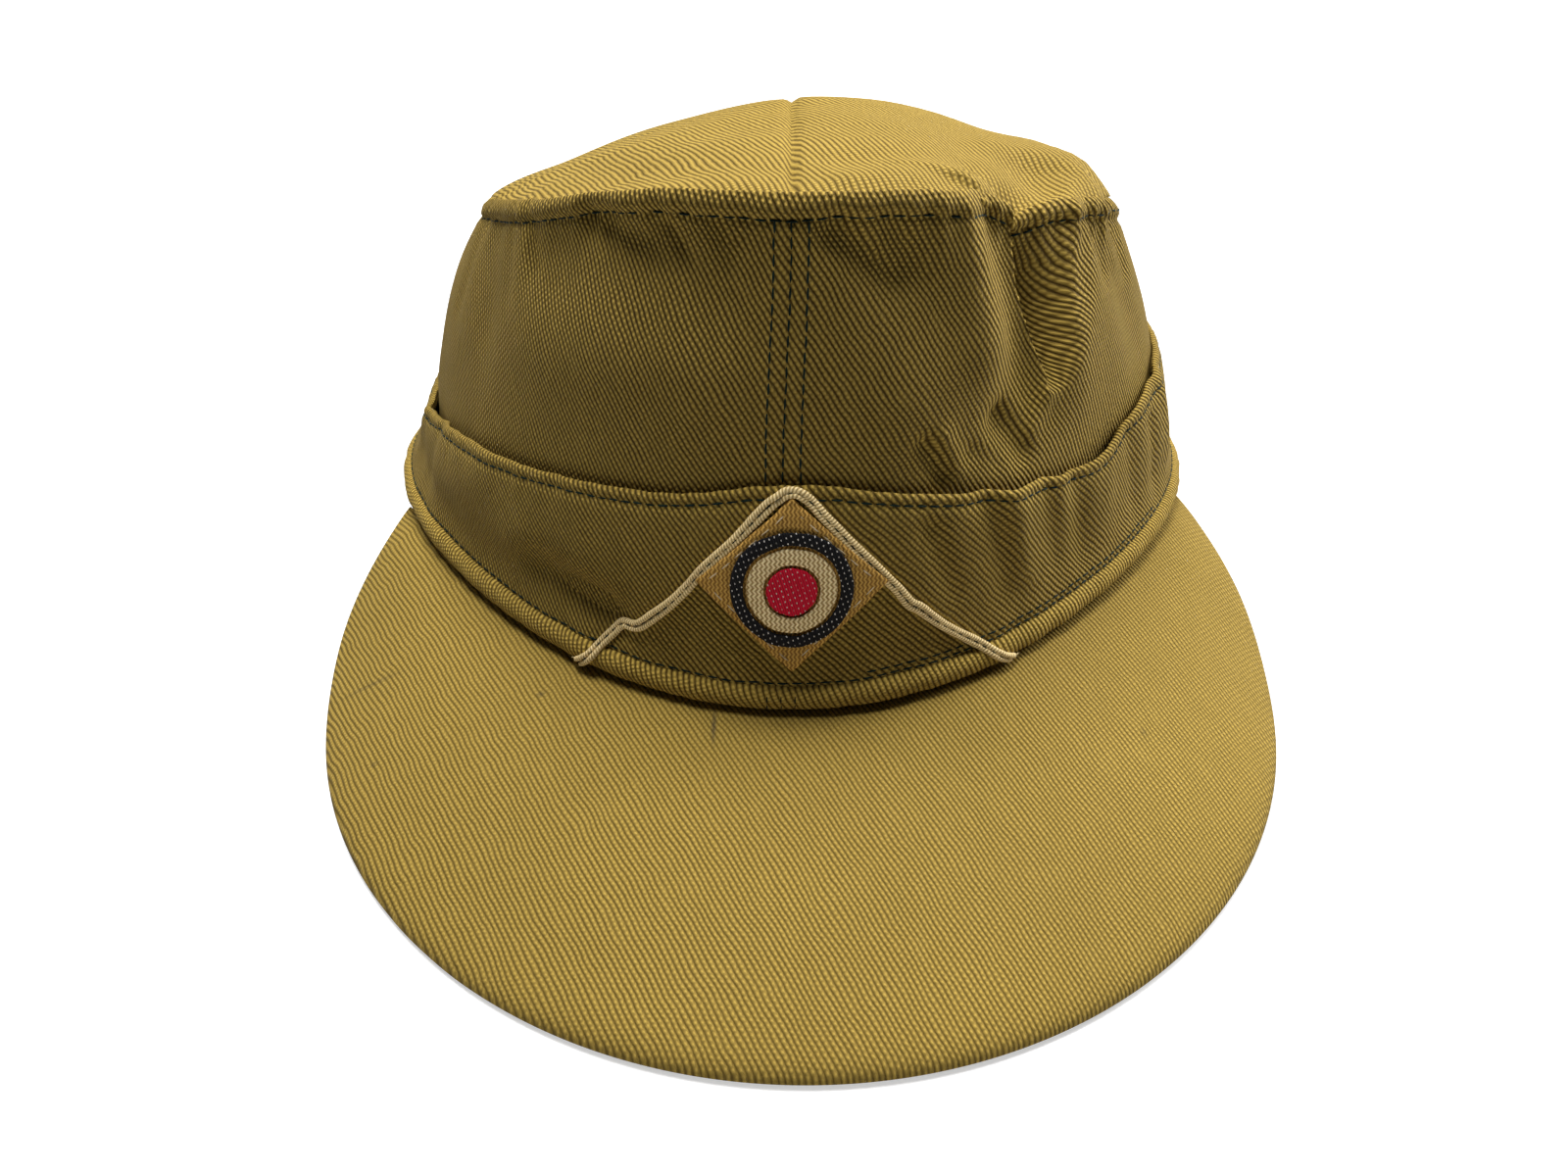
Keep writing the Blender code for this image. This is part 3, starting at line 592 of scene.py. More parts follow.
# %% Top
TOP_CREASES = [
    dict(x=0.0385, y=-0.034, to_x=0.0440, to_y=-0.006, push=-0.0042, width=0.0050),
    dict(x=0.0320, y=-0.034, to_x=0.0370, to_y=0.010, push=0.0018, width=0.0040),
    dict(x=0.0430, y=0.0020, to_x=0.0480, to_y=0.0340, push=0.0030, width=0.0090),
    dict(x=0.0560, y=-0.010, to_x=0.0520, to_y=0.030, push=0.0024, width=0.0080),
    dict(x=0.008, y=-0.046, to_x=0.026, to_y=-0.034, push=0.0012, width=0.0040),
    dict(x=0.006, y=-0.036, to_x=0.022, to_y=-0.026, push=-0.0008, width=0.0040),
    dict(x=-0.030, y=-0.024, to_x=-0.042, to_y=0.000, push=-0.0008, width=0.0060),
    dict(x=-0.006, y=-0.040, to_x=-0.020, to_y=-0.034, push=-0.0006, width=0.0045),
    dict(x=0.010, y=0.060, to_x=0.034, to_y=0.078, push=-0.0014, width=0.0055),
    dict(x=-0.012, y=0.058, to_x=-0.034, to_y=0.072, push=-0.0014, width=0.0055),
]

top = weld("crown_top", ["crown_top_left", "crown_top_right"])
soften(top, 2)


def shape_top(place):
    """How far the top's cloth is lifted at a place."""
    lift = 0.0
    here = place.xy
    for row in TOP_CREASES:
        start, end = Vector((row["x"], row["y"])), Vector((row["to_x"], row["to_y"]))
        run = end - start
        share = min(1.0, max(0.0, (here - start).dot(run) / run.length_squared))
        away = (here - start - run * share).length
        lift += row["push"] * math.exp(-((away / row["width"]) ** 2)) * (1 - 0.5 * share)
    lift += noise.noise(Vector((place.x, place.y, 0)) / 0.022) * 0.7 * MM
    across = place.x - MIDDLE.x
    return lift - 0.9 * MM * math.exp(-((across / (0.9 * MM)) ** 2))


welt_points = [v for v in crown.data.vertices
               if v.co.z > edge_at(crown_top, angle_of(v.co)) + rim_sag(angle_of(v.co)) - 3 * MM]
welt_reach = ring_radius(welt_points, max)
top_reach = ring_radius(top.data.vertices, max)
rim_points = [v for v in top.data.vertices
              if (v.co.xy - MIDDLE.xy).length > edge_at(top_reach, angle_of(v.co)) - 1.5 * MM]
top_rim = {}
for point in rim_points:
    key = round(angle_of(point.co) / 3) % 120
    top_rim[key] = max(top_rim.get(key, 0.0), point.co.z)


def shape_top_edge(place):
    """Brings the top's outer edge against the inside of the welt, wherever the welt now is."""
    angle = angle_of(place)
    inside = edge_at(top_reach, angle) - (place.xy - MIDDLE.xy).length
    out = edge_at(welt_reach, angle) - 1.1 * MM - edge_at(top_reach, angle)
    sunk = 1.5 - 1.1 * math.exp(-(((abs(angle) - 75) / 38) ** 2))
    up = edge_at(crown_top, angle) + rim_sag(angle) - sunk * MM - edge_at(top_rim, angle)
    rise = up * smooth_share(1 - inside / (20 * MM)) + shape_top(place) * smooth_share(inside / (6 * MM))
    return outward(place) * out * smooth_share(1 - inside / (14 * MM)) + Vector((0, 0, rise))


for vert in top.data.vertices:
    vert.co += shape_top_edge(vert.co)
map_cloth(top, lambda place, _normal: (place.x, place.y * 1.1))
dress(top, top_twill, "twill", "crown_top_left", "crown_top_right")

# %% [markdown]
# ## Rolled hem
# The lower edge is cloth rolled over itself. Its twill shows the roll: the ribs run across it,
# and the stitches above draw it in here and there.

# %% Hem
hem = weld("rolled_hem", ["hem_roll"])
soften(hem, 2)
for vert in hem.data.vertices:
    if vert.co.z > 1.5 * MM:
        angle = angle_of(vert.co)
        draw = abs(noise.noise(Vector((angle * 0.42, 1.7, 0)))) * 0.55 * MM
        vert.co += outward(vert.co) * (0.45 * MM - draw)
map_cloth(hem, lambda place, normal: (math.radians(angle_of(place)) * MEAN_RADIUS, place.z * 1.5))
dress(hem, hem_twill, "twill", "hem_roll")

# %% [markdown]
# ## Flap
# The turned-up flap is doubled cloth, folded at its upper edge and caught by one row of stitches
# a little over 2 mm below the fold. It lies flat at the front, where it is sewn down under the badge, and
# buckles softly at both sides.

# %% Flap
FLAP_CREASES = [
    dict(angle=60.0, z=0.048, to_angle=63.0, to_z=0.031, push=-0.0013, width=0.0026),
    dict(angle=66.0, z=0.052, to_angle=69.0, to_z=0.034, push=0.0012, width=0.0030),
    dict(angle=52.0, z=0.050, to_angle=55.0, to_z=0.030, push=-0.0008, width=0.0030),
    dict(angle=44.0, z=0.052, to_angle=46.0, to_z=0.032, push=0.0006, width=0.0040),
    dict(angle=14.5, z=0.054, to_angle=17.5, to_z=0.040, push=-0.0009, width=0.0020),
    dict(angle=21.5, z=0.056, to_angle=25.0, to_z=0.036, push=-0.0011, width=0.0024),
    dict(angle=25.5, z=0.055, to_angle=29.0, to_z=0.036, push=0.0009, width=0.0024),
    dict(angle=31.0, z=0.054, to_angle=34.0, to_z=0.036, push=-0.0010, width=0.0026),
    dict(angle=37.5, z=0.050, to_angle=40.0, to_z=0.033, push=-0.0012, width=0.0028),
    dict(angle=-22.0, z=0.033, to_angle=-31.0, to_z=0.036, push=-0.0042, width=0.0052),
    dict(angle=-34.0, z=0.040, to_angle=-46.0, to_z=0.033, push=0.0008, width=0.0050),
    dict(angle=-60.0, z=0.050, to_angle=-64.0, to_z=0.032, push=-0.0010, width=0.0032),
    dict(angle=-72.0, z=0.046, to_angle=-75.0, to_z=0.030, push=0.0009, width=0.0036),
    dict(angle=100.0, z=0.046, to_angle=108.0, to_z=0.026, push=-0.0014, width=0.0040),
    dict(angle=-104.0, z=0.040, to_angle=-110.0, to_z=0.024, push=-0.0014, width=0.0040),
    dict(angle=140.0, z=0.030, to_angle=150.0, to_z=0.014, push=-0.0012, width=0.0040),
    dict(angle=-142.0, z=0.030, to_angle=-150.0, to_z=0.014, push=-0.0012, width=0.0040),
]
FLAP_STITCH_DROP = 2.3 * MM

flap = weld("flap_band", ["flap_left", "flap_right"])
soften(flap, 3)
flap_top = edge_heights(flap)
flap_foot = edge_heights(flap, top=False)
roll_crest = edge_heights(hem)
roll_middle = ring_radius(hem.data.vertices, lambda radii: sum(radii) / len(radii))
foot_points = [v for v in flap.data.vertices
               if v.co.z < edge_at(flap_foot, angle_of(v.co)) + 2.5 * MM]
foot_reach = ring_radius(foot_points, max)


def flap_trim(angle, up):
    """How far the flap's upper edge comes in and down, to hug the crown at both sides."""
    left, right = math.exp(-(((angle + 84) / 28) ** 2)), math.exp(-(((angle - 80) / 24) ** 2))
    return -(3.6 * MM * left + 2.6 * MM * right) * up * up, -3.6 * MM * left * up


def shape_flap(place):
    """The move of one point of the flap."""
    angle = angle_of(place)
    below, foot = edge_at(flap_top, angle) - place.z, edge_at(flap_foot, angle)
    above = place.z - foot
    fade = smooth_share(above / (7 * MM))
    inward, down = flap_trim(angle, min(1.0, above / (above + below)))
    push = (push_along(FLAP_CREASES, angle, place.z) + ripple(angle, place.z, 0.5 * MM)) * fade + inward
    pucker = abs(noise.noise(Vector((angle * 0.34, 3.3, 0)))) * math.exp(-((below / (6 * MM)) ** 2))
    push -= 0.7 * MM * pucker + 0.35 * MM * math.exp(-(((below - FLAP_STITCH_DROP) / (0.7 * MM)) ** 2))
    push += (0.6 * seam_relief(place.x - seam_middle(0.06), SEAM_ALLOWANCE) + 0.2 * MM) * fade
    at_foot = (1 - min(1.0, above / (8 * MM))) ** 2
    push += (edge_at(roll_middle, angle) + 0.9 * MM - edge_at(foot_reach, angle)) * at_foot
    down -= max(0.0, foot - edge_at(roll_crest, angle) + 1.3 * MM) * at_foot
    return outward(place) * push + Vector((0, 0, down))


for vert in flap.data.vertices:
    vert.co += shape_flap(vert.co)
flap_top, flap_foot = edge_heights(flap), edge_heights(flap, top=False)
map_cloth(flap, round_the_flap)
dress(flap, flap_twill, "twill", "flap_left", "flap_right")

# %% [markdown]
# ## Peak
# A board between two layers of twill. The cloth is drawn tight, so the peak stays smooth, with
# only a faint swell, and its edge is a soft round.

# %% Peak
peak = weld("peak_board", ["peak"])
soften(peak, 3)
SWELL_HEIGHT, SWELL_LENGTH = 0.25 * MM, 35 * MM
for vert in peak.data.vertices:
    swell = noise.noise(Vector((vert.co.x, vert.co.y, 0)) / SWELL_LENGTH) * SWELL_HEIGHT
    vert.co.z += swell * min(1, vert.co.z / (4 * MM))
map_cloth(peak, lambda place, _normal: (place.x, place.y))
dress(peak, peak_twill, "twill", "peak")

# %% [markdown]
# ## Stitches
# The cap is sewn with dark blue-green thread. One stitch is modelled from a stretched sphere,
# and then copied along each seam. Rays shot at the finished cloth tell each stitch where the
# surface is, so it sits in its groove instead of floating.

# %% Thread and one stitch
thread, tree, shader = new_finish("green_thread", 0.7)
place = add_node(tree, "ShaderNodeTexCoord").outputs["Object"]
shine = speckle(tree, place, 900.0, 2.0)
tree.links.new(mix_colours(tree, shine, (0.002, 0.007, 0.005, 1), (0.009, 0.024, 0.016, 1)),
               shader.inputs["Base Color"])
twist = add_node(tree, "ShaderNodeBump", Height=shine, Strength=0.4, Distance=0.0001)
tree.links.new(twist.outputs[0], shader.inputs["Normal"])

pale_thread, tree, shader = new_finish("pale_thread", 0.6)
place = add_node(tree, "ShaderNodeTexCoord").outputs["Object"]
shine = speckle(tree, place, 900.0, 2.0)
tree.links.new(mix_colours(tree, shine, (0.38, 0.27, 0.13, 1), (0.72, 0.60, 0.40, 1)),
               shader.inputs["Base Color"])

STITCH_LENGTH = 2.2 * MM
STITCH_GAP = 0.35 * MM
THREAD_RADIUS = 0.19 * MM
MARKS_EACH = 8
bpy.ops.object.select_all(action="DESELECT")
bpy.ops.mesh.primitive_uv_sphere_add(segments=6, ring_count=6, radius=1.0)
stitch = bpy.context.object
stitch.rotation_euler = (0, math.pi / 2, 0)
bpy.ops.object.transform_apply(rotation=True)
stitch_points = [v.co.copy() for v in stitch.data.vertices]
stitch_faces = [tuple(f.vertices) for f in stitch.data.polygons]
bpy.data.objects.remove(stitch)
print("one stitch has", len(stitch_faces), "faces")


def tree_of(*pieces):
    """A ray-cast tree of finished pieces."""
    points, faces = [], []
    for piece in pieces:
        base = len(points)
        points += [v.co.copy() for v in piece.data.vertices]
        faces += [[base + v for v in f.vertices] for f in piece.data.polygons]
    return BVHTree.FromPolygons(points, faces)


def touch(tree, angle, z):
    """Where a ray from outside, level at height z, first meets the cloth."""
    a = math.radians(angle)
    out = Vector((math.sin(a), -math.cos(a), 0))
    start = MIDDLE + out * 0.2 + Vector((0, 0, z))
    spot, normal, _, _ = tree.ray_cast(start, -out)
    return spot, normal


def resample(route, step):
    """Points each step along a route of (place, normal) pairs."""
    result = [route[0]]
    left = step
    for (a, na), (b, nb) in zip(route, route[1:]):
        length = (b - a).length
        done = left
        while done <= length:
            share = done / length
            result.append((a.lerp(b, share), na.lerp(nb, share).normalized()))
            done += step
        left = done - length
    return result


def sew(name, routes, finish, slot_name, length=STITCH_LENGTH, gap=STITCH_GAP, radius=THREAD_RADIUS):
    """Stitches along each route of (place, normal) pairs, joined to one piece."""
    points, faces = [], []
    count = 0
    for route in routes:
        found = [pair for pair in route if pair[0] is not None]
        marks = resample(found, (length + gap) / MARKS_EACH)
        for k in range(0, len(marks) - MARKS_EACH, MARKS_EACH):
            (start, first_normal), (end, last_normal) = marks[k], marks[k + MARKS_EACH - 1]
            normal = (first_normal + last_normal).normalized()
            along = (end - start).normalized()
            side = normal.cross(along).normalized()
            up = along.cross(side)
            wander = noise.noise(Vector((count * 3.7, 0.5, 0))) * 0.12 * MM
            middle = (start + end) / 2 + normal * radius * 0.35 + side * wander
            base = len(points)
            for p in stitch_points:
                arch = -0.9 * radius * p.x**4
                points.append(middle + along * p.x * length / 2 + side * p.y * radius
                              + up * (p.z * radius * 0.85 + arch))
            faces += [tuple(base + v for v in face) for face in stitch_faces]
            count += 1
    mesh = bpy.data.meshes.new(name)
    mesh.from_pydata(points, [], faces)
    mesh.shade_smooth()
    piece = bpy.data.objects.new(name, mesh)
    bpy.context.scene.collection.objects.link(piece)
    dress(piece, finish, slot_name)
    print(name, count, "stitches")
    return piece


# %% [markdown]
# Each seam is a route: the welt's row, the flap's row, the hem's row with a second one beside
# part of it, three rows on each of the front and back seams, and three short rows over the hem.

# %% Seam routes
crown_tree = tree_of(crown)
flap_tree = tree_of(flap)
FRONT_RADIUS = 88.5 * MM
ROUND = [a * 0.75 for a in range(-240, 241)]

welt_row = [touch(crown_tree, a, edge_at(crown_top, a) + rim_sag(a) - WELT) for a in ROUND]
flap_row = [touch(flap_tree, a, edge_at(flap_top, a) - FLAP_STITCH_DROP) for a in ROUND]
hem_row = [touch(flap_tree, a, edge_at(roll_crest, a) + 0.5 * MM) for a in ROUND]
second_hem_row = [touch(flap_tree, a, edge_at(roll_crest, a) + 1.7 * MM) for a in ROUND if 7 < a < 62]


def seam_row(tree, centre, across, low, high):
    """A row up the wall at a distance across from the front (0) or back (180) seam."""
    steps, row = 40, []
    for k in range(steps + 1):
        z = low + (high - low) * k / steps
        shift = across + (seam_middle(z) - MIDDLE.x if centre == 0 else 0.0)
        row.append(touch(tree, centre + math.degrees(shift / FRONT_RADIUS), z))
    return row


seam_rows = []
for centre in (0, 180):
    for across in (-SEAM_ALLOWANCE, 0.0, SEAM_ALLOWANCE):
        low = edge_at(flap_top, centre) - 0.5 * MM
        seam_rows.append(seam_row(crown_tree, centre, across, low, edge_at(crown_top, centre) - WELT / 2))

sew("stitches_welt", [welt_row], thread, "twill")
sew("stitches_flap", [flap_row], thread, "twill")
sew("stitches_hem", [hem_row, second_hem_row], thread, "twill")
sew("stitches_seams", seam_rows, thread, "twill")

short_rows = []
for across in (-2.4 * MM, -0.2 * MM, 1.9 * MM):
    low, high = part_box("peak")[1].z + 1.2 * MM, edge_at(flap_foot, 0) + 0.6 * MM
    short_rows.append(seam_row(tree_of(hem, flap), 0, across, low, high))
sew("stitches_hem_front", short_rows, thread, "twill", length=1.5 * MM, gap=0.3 * MM, radius=0.15 * MM)

# %% [markdown]
# ## Braid
# The chevron is soutache: two cords bound side by side with a plaited thread. It is laid by
# dropping its route, drawn in front view, straight back on to the finished flap and hem. Rings of
# points along the route make two tubes side by side; a herringbone bump makes the binding, with
# painted shade between its plies.

# %% Braid finish
braid_finish, tree, shader = new_finish("cream_braid", 0.6)
map_node = add_node(tree, "ShaderNodeUVMap", {"uv_map": "cloth"}).outputs[0]
parts = add_node(tree, "ShaderNodeSeparateXYZ", i0=map_node)
fold = sum_of(tree, "ABSOLUTE", sum_of(tree, "SUBTRACT", parts.outputs[1], 0.5))
slant = sum_of(tree, "MULTIPLY", fold, 12.0)
wave = sum_of(tree, "MULTIPLY_ADD", parts.outputs[0], 2 * math.pi / (0.62 * MM), slant)
ply = sum_of(tree, "MULTIPLY_ADD", sum_of(tree, "SINE", wave), 0.5, 0.5)
body = add_node(tree, "ShaderNodeTexCoord").outputs["Object"]
fibre = speckle(tree, body, 2500.0, 3.0)
# The plies show in colour too: cream on each ply and painted shade between them.
light = stretch(tree, sum_of(tree, "MULTIPLY_ADD", fibre, 0.6, ply), 0.2, 1.3)
colour = mix_colours(tree, light, (0.36, 0.225, 0.065, 1), (1.0, 0.80, 0.42, 1))
dirt = stretch(tree, speckle(tree, body, 160.0, 4.0), 0.55, 0.85)
colour = mix_colours(tree, sum_of(tree, "MULTIPLY", dirt, 0.45), colour, (0.30, 0.20, 0.09, 1))
tree.links.new(colour, shader.inputs["Base Color"])
bump = add_node(tree, "ShaderNodeBump", Height=ply, Strength=0.9, Distance=0.00018)
tree.links.new(bump.outputs[0], shader.inputs["Normal"])

# %% Braid
STRAND_RADIUS = 0.56 * MM
STRAND_SPACING = 0.50 * MM
BRAID_POINTS = [
    (-41.2, 22.8), (-37.8, 26.0), (-33.9, 29.9), (-31.6, 32.6), (-29.0, 33.6), (-25.8, 37.2), (-22.9, 40.4),
    (-19.4, 44.9), (-15.9, 49.6), (-10.3, 55.8), (-5.0, 62.0), (-3.0, 63.5), (-1.5, 63.9), (0.1, 63.4),
    (2.8, 60.4), (5.8, 56.9), (11.2, 50.6), (16.2, 44.6), (18.6, 41.0), (20.6, 39.4), (25.0, 34.4),
    (33.3, 27.0), (39.4, 22.6),
]


def smooth_route(points, steps):
    """A Catmull-Rom line through points."""
    result = []
    for k in range(len(points) - 1):
        p = [Vector(points[min(max(k + d, 0), len(points) - 1)]) for d in (-1, 0, 1, 2)]
        for s in range(steps):
            t = s / steps
            result.append(0.5 * (2 * p[1] + (p[2] - p[0]) * t + (2 * p[0] - 5 * p[1] + 4 * p[2] - p[3]) * t**2
                                 + (3 * p[1] - p[0] - 3 * p[2] + p[3]) * t**3))
    return result + [Vector(points[-1])]


cloth_tree = tree_of(flap, hem)


def drop_on(tree, x, z):
    """Where a ray straight back from the front meets the cloth."""
    spot, normal, _, _ = tree.ray_cast(Vector((x, -0.3, z)), Vector((0, 1, 0)))
    return spot, normal


laid = []
for flat in smooth_route(BRAID_POINTS, 6):
    spot, normal = drop_on(cloth_tree, flat.x * MM, flat.y * MM)
    if spot is not None:
        laid.append((spot, normal))
for _ in range(3):
    laid = [laid[0]] + [
        ((a[0] + b[0] * 2 + c[0]) / 4, (a[1] + b[1] * 2 + c[1]).normalized())
        for a, b, c in zip(laid, laid[1:], laid[2:])
    ] + [laid[-1]]
BRAID_STEP = 0.35 * MM
laid = resample(laid, BRAID_STEP)


def tube(name, line, radius, sides=10):
    """A round strand with closed ends along a line, with its own cloth map."""
    points, faces, spots = [], [], []
    run = 0.0
    for k, (place, normal) in enumerate(line):
        after = line[min(k + 1, len(line) - 1)][0]
        before = line[max(k - 1, 0)][0]
        along = (after - before).normalized()
        side = along.cross(normal).normalized()
        up = side.cross(along)
        run += (place - before).length if k else 0.0
        taper = 0.55 if k in (0, len(line) - 1) else 1.0
        swell = radius * taper * (1 + 0.10 * noise.noise(Vector((run / (3 * MM), 2.0, 0))))
        for j in range(sides):
            turn = 2 * math.pi * j / sides
            points.append(place + (side * math.cos(turn) + up * math.sin(turn)) * swell)
            spots.append((run, j / sides))
    for k in range(len(line) - 1):
        for j in range(sides):
            a, b = k * sides + j, k * sides + (j + 1) % sides
            faces.append((a, b, b + sides, a + sides))
    last = (len(line) - 1) * sides
    faces += [tuple(range(sides))[::-1], tuple(range(last, last + sides))]
    mesh = bpy.data.meshes.new(name)
    mesh.from_pydata(points, [], faces)
    layer = mesh.uv_layers.new(name="cloth")
    for loop in mesh.loops:
        layer.data[loop.index].uv = spots[loop.vertex_index]
    piece = bpy.data.objects.new(name, mesh)
    bpy.context.scene.collection.objects.link(piece)
    return piece


def beside(line, distance, lift):
    """A line moved sideways over the cloth, with a slow waver as hand-laid braid has."""
    moved = []
    for k, (place, normal) in enumerate(line):
        along = (line[min(k + 1, len(line) - 1)][0] - line[max(k - 1, 0)][0]).normalized()
        side = along.cross(normal).normalized()
        waver = noise.noise(Vector((k * 0.045, 5.0 + distance * 900, 0))) * 0.22 * MM
        moved.append((place + side * (distance + waver) + normal * (lift + abs(waver) * 0.5), normal))
    return moved


strands = []
for distance in (-STRAND_SPACING, STRAND_SPACING):
    strands.append(tube("strand", beside(laid, distance, STRAND_RADIUS * 0.8), STRAND_RADIUS))
for end in (laid[:7], laid[-7:][::-1]):
    tip, normal = end[0]
    back = (end[0][0] - end[-1][0]).normalized()
    for k in range(7):
        spread = (k - 3) * 0.26 * MM
        side = back.cross(normal).normalized()
        start = tip + side * spread * 0.8 + normal * 0.5 * MM - back * 0.8 * MM
        length = (0.9 + 0.35 * math.sin(k * 2.1)) * MM
        finish_point = tip + back * length + side * spread * 1.5 + normal * 0.3 * MM
        hair = [(start.lerp(finish_point, s / 4), normal) for s in range(5)]
        strands.append(tube("hair", hair, 0.11 * MM, sides=5))
bpy.ops.object.select_all(action="DESELECT")
for strand in strands:
    strand.select_set(True)
bpy.context.view_layer.objects.active = strands[0]
bpy.ops.object.join()
braid = bpy.context.object
braid.name = "soutache"
bpy.ops.object.mode_set(mode="EDIT")
bpy.ops.mesh.select_all(action="SELECT")
bpy.ops.mesh.normals_make_consistent(inside=False)
bpy.ops.object.mode_set(mode="OBJECT")
bpy.ops.object.shade_smooth()
dress(braid, braid_finish, "braid", "soutache_braid")
print("braid", round(len(laid) * BRAID_STEP / MM), "mm long")

BINDING_LIFT = 0.86 * MM
binding = [(place + normal * BINDING_LIFT, normal) for place, normal in laid]
sew("stitches_braid", [binding], thread, "braid", length=1.3 * MM, gap=0.9 * MM, radius=0.10 * MM)

# %% [markdown]
# ## Badge
# The badge is woven in one cloth: a tan square on its corner, with plain rings of black, cream
# and red. Each ring is a low relief. White binding threads show as rows of flecks in the black
# and red, and the cream is woven in upright zigzag ribs, so each finish draws its own threads.

# %% Badge finishes
def badge_coords(tree):
    """x and z on the badge's face, in millimetres."""
    body = add_node(tree, "ShaderNodeTexCoord").outputs["Object"]
    parts = add_node(tree, "ShaderNodeSeparateXYZ", i0=body)
    x = sum_of(tree, "MULTIPLY", parts.outputs[0], 1000.0)
    z = sum_of(tree, "MULTIPLY", parts.outputs[2], 1000.0)
    return body, x, z


def flecked(name, dark, light, slant):
    """Close satin thread with short white flecks in staggered rows."""
    material, tree, shader = new_finish(name, 0.7)
    body, x, z = badge_coords(tree)
    u = sum_of(tree, "MULTIPLY_ADD", x, 1.05, sum_of(tree, "MULTIPLY", z, slant))
    v = sum_of(tree, "MULTIPLY_ADD", z, 0.85, sum_of(tree, "MULTIPLY", x, -0.42))
    fu = sum_of(tree, "ABSOLUTE", sum_of(tree, "SUBTRACT", sum_of(tree, "FRACT", u), 0.5))
    fv = sum_of(tree, "ABSOLUTE", sum_of(tree, "SUBTRACT", sum_of(tree, "FRACT", v), 0.5))
    narrow, short = sum_of(tree, "LESS_THAN", fu, 0.10), sum_of(tree, "LESS_THAN", fv, 0.14)
    fleck = sum_of(tree, "MULTIPLY", narrow, short)
    patchy = stretch(tree, speckle(tree, body, 420.0, 2.0), 0.25, 0.50)
    ridge = sum_of(tree, "SINE", sum_of(tree, "MULTIPLY_ADD", x, 2 * math.pi / 0.42,
                                        sum_of(tree, "MULTIPLY", z, 4.5)))
    ridge = sum_of(tree, "MULTIPLY_ADD", ridge, 0.5, 0.5)
    colour = mix_colours(tree, ridge, dark, light)
    colour = mix_colours(tree, sum_of(tree, "MULTIPLY", fleck, patchy), colour, (0.74, 0.70, 0.64, 1))
    tree.links.new(colour, shader.inputs["Base Color"])
    height = sum_of(tree, "ADD", ridge, fleck)
    bump = add_node(tree, "ShaderNodeBump", Height=height, Strength=0.7, Distance=0.12 * MM)
    tree.links.new(bump.outputs[0], shader.inputs["Normal"])
    return material


def zigzag(name, dark, light, pitch, swing):
    """Upright ribs that step from side to side."""
    material, tree, shader = new_finish(name, 0.6)
    body, x, z = badge_coords(tree)
    tooth = sum_of(tree, "PINGPONG", z, 0.55)
    bent = sum_of(tree, "MULTIPLY_ADD", tooth, swing, x)
    wave = sum_of(tree, "SINE", sum_of(tree, "MULTIPLY", bent, 2 * math.pi / pitch))
    rib = sum_of(tree, "MULTIPLY_ADD", wave, 0.5, 0.5)
    fibre = speckle(tree, body, 2200.0, 3.0)
    share = stretch(tree, sum_of(tree, "MULTIPLY_ADD", fibre, 0.5, rib), 0.15, 1.25)
    colour = mix_colours(tree, share, dark, light)
    tree.links.new(colour, shader.inputs["Base Color"])
    bump = add_node(tree, "ShaderNodeBump", Height=rib, Strength=0.9, Distance=0.00018)
    tree.links.new(bump.outputs[0], shader.inputs["Normal"])
    return material


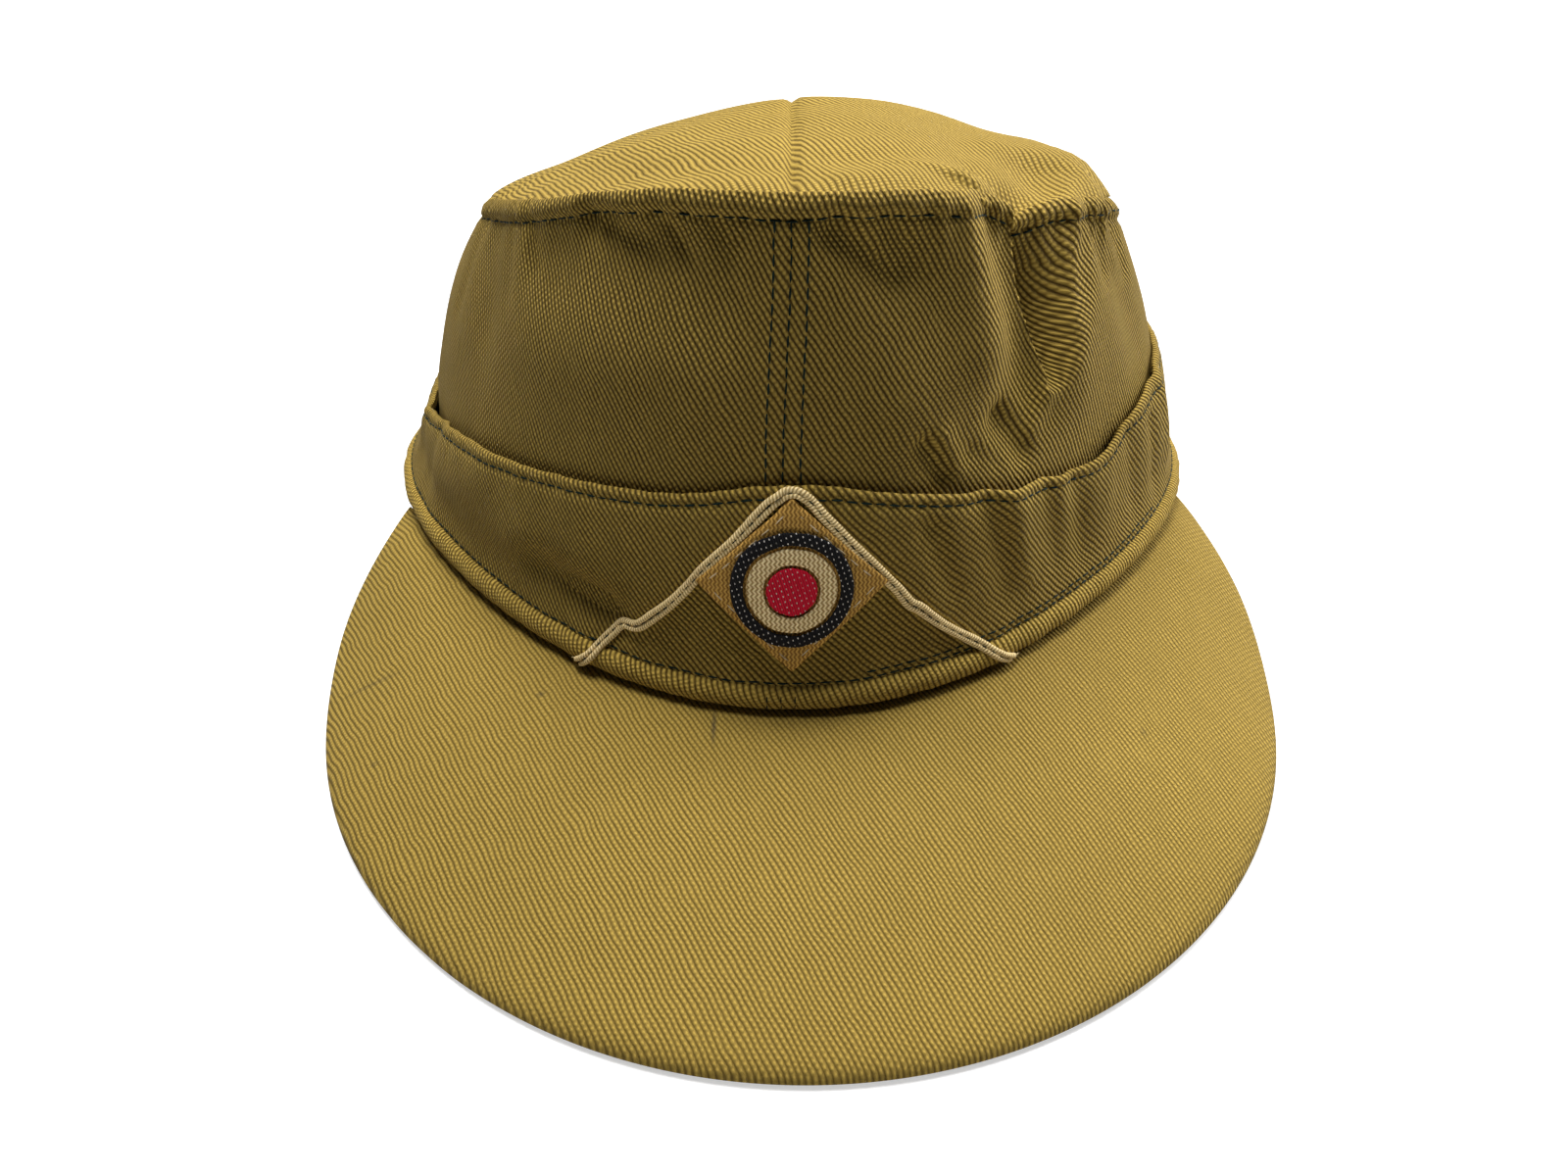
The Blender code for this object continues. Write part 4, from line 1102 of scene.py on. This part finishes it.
black_weave = flecked("black_weave", (0.003, 0.003, 0.004, 1), (0.012, 0.012, 0.014, 1), 0.32)
red_weave = flecked("red_weave", (0.38, 0.003, 0.016, 1), (0.74, 0.008, 0.040, 1), 0.32)
cream_weave = zigzag("cream_weave", (0.30, 0.165, 0.038, 1), (1.0, 0.82, 0.46, 1), 0.80, 0.75)
tan_weave = zigzag("tan_weave", (0.19, 0.090, 0.013, 1), (0.64, 0.37, 0.085, 1), 0.72, 0.6)

# %% Badge pieces
plain_flap = tree_of(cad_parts["flap_left"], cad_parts["flap_right"])
patch_low, patch_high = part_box("cockade_patch")
badge_middle = (patch_low + patch_high) / 2


def flap_front(tree, x, z):
    """The y of a flap's front face, read beside the seam's gap."""
    x = x if abs(x - MIDDLE.x) > 0.8 * MM else MIDDLE.x + 0.8 * MM
    return drop_on(tree, x, z)[0].y


BADGE_RAISE = 2.0 * MM
BADGE_TALL = 1.07
PATCH_WIDE = 1.06
for node, finish, slot_name, rise, wide in (
    ("cockade_patch", tan_weave, "badge_cloth", 0.10, PATCH_WIDE),
    ("cockade_ring", black_weave, "black_thread", 0.22, 1.0),
    ("cockade_field", cream_weave, "cream_thread", 0.16, 1.0),
    ("cockade_dot", red_weave, "red_thread", 0.26, 1.0),
):
    piece = weld("badge_" + node.split("_")[1], [node])
    if node == "cockade_patch":
        crease = piece.data.attributes.new("crease_edge", "FLOAT", "EDGE")
        for k in range(len(piece.data.edges)):
            crease.data[k].value = 0.85
    soften(piece, 2)
    for vert in piece.data.vertices:
        forward = flap_front(plain_flap, vert.co.x, vert.co.z) - vert.co.y + rise * MM
        x = badge_middle.x + (vert.co.x - badge_middle.x) * wide
        z = badge_middle.z + (vert.co.z - badge_middle.z) * BADGE_TALL + BADGE_RAISE
        vert.co = Vector((x, flap_front(flap_tree, x, z) - forward, z))
    dress(piece, finish, slot_name, node)

half = (patch_high.x - patch_low.x) / 2 - 0.8 * MM
badge_tree = tree_of(bpy.data.objects["badge_patch"])
corners = [(badge_middle.x + half * c, badge_middle.z + BADGE_RAISE + half * s)
           for c, s in ((0, 1), (1, 0), (0, -1), (-1, 0), (0, 1))]
sides = []
for a, b in zip(corners, corners[1:]):
    sides.append([drop_on(badge_tree, a[0] + (b[0] - a[0]) * k / 30, a[1] + (b[1] - a[1]) * k / 30)
                  for k in range(1, 30)])
sew("stitches_badge", sides, pale_thread, "braid", length=2.2 * MM, gap=1.0 * MM, radius=0.13 * MM)
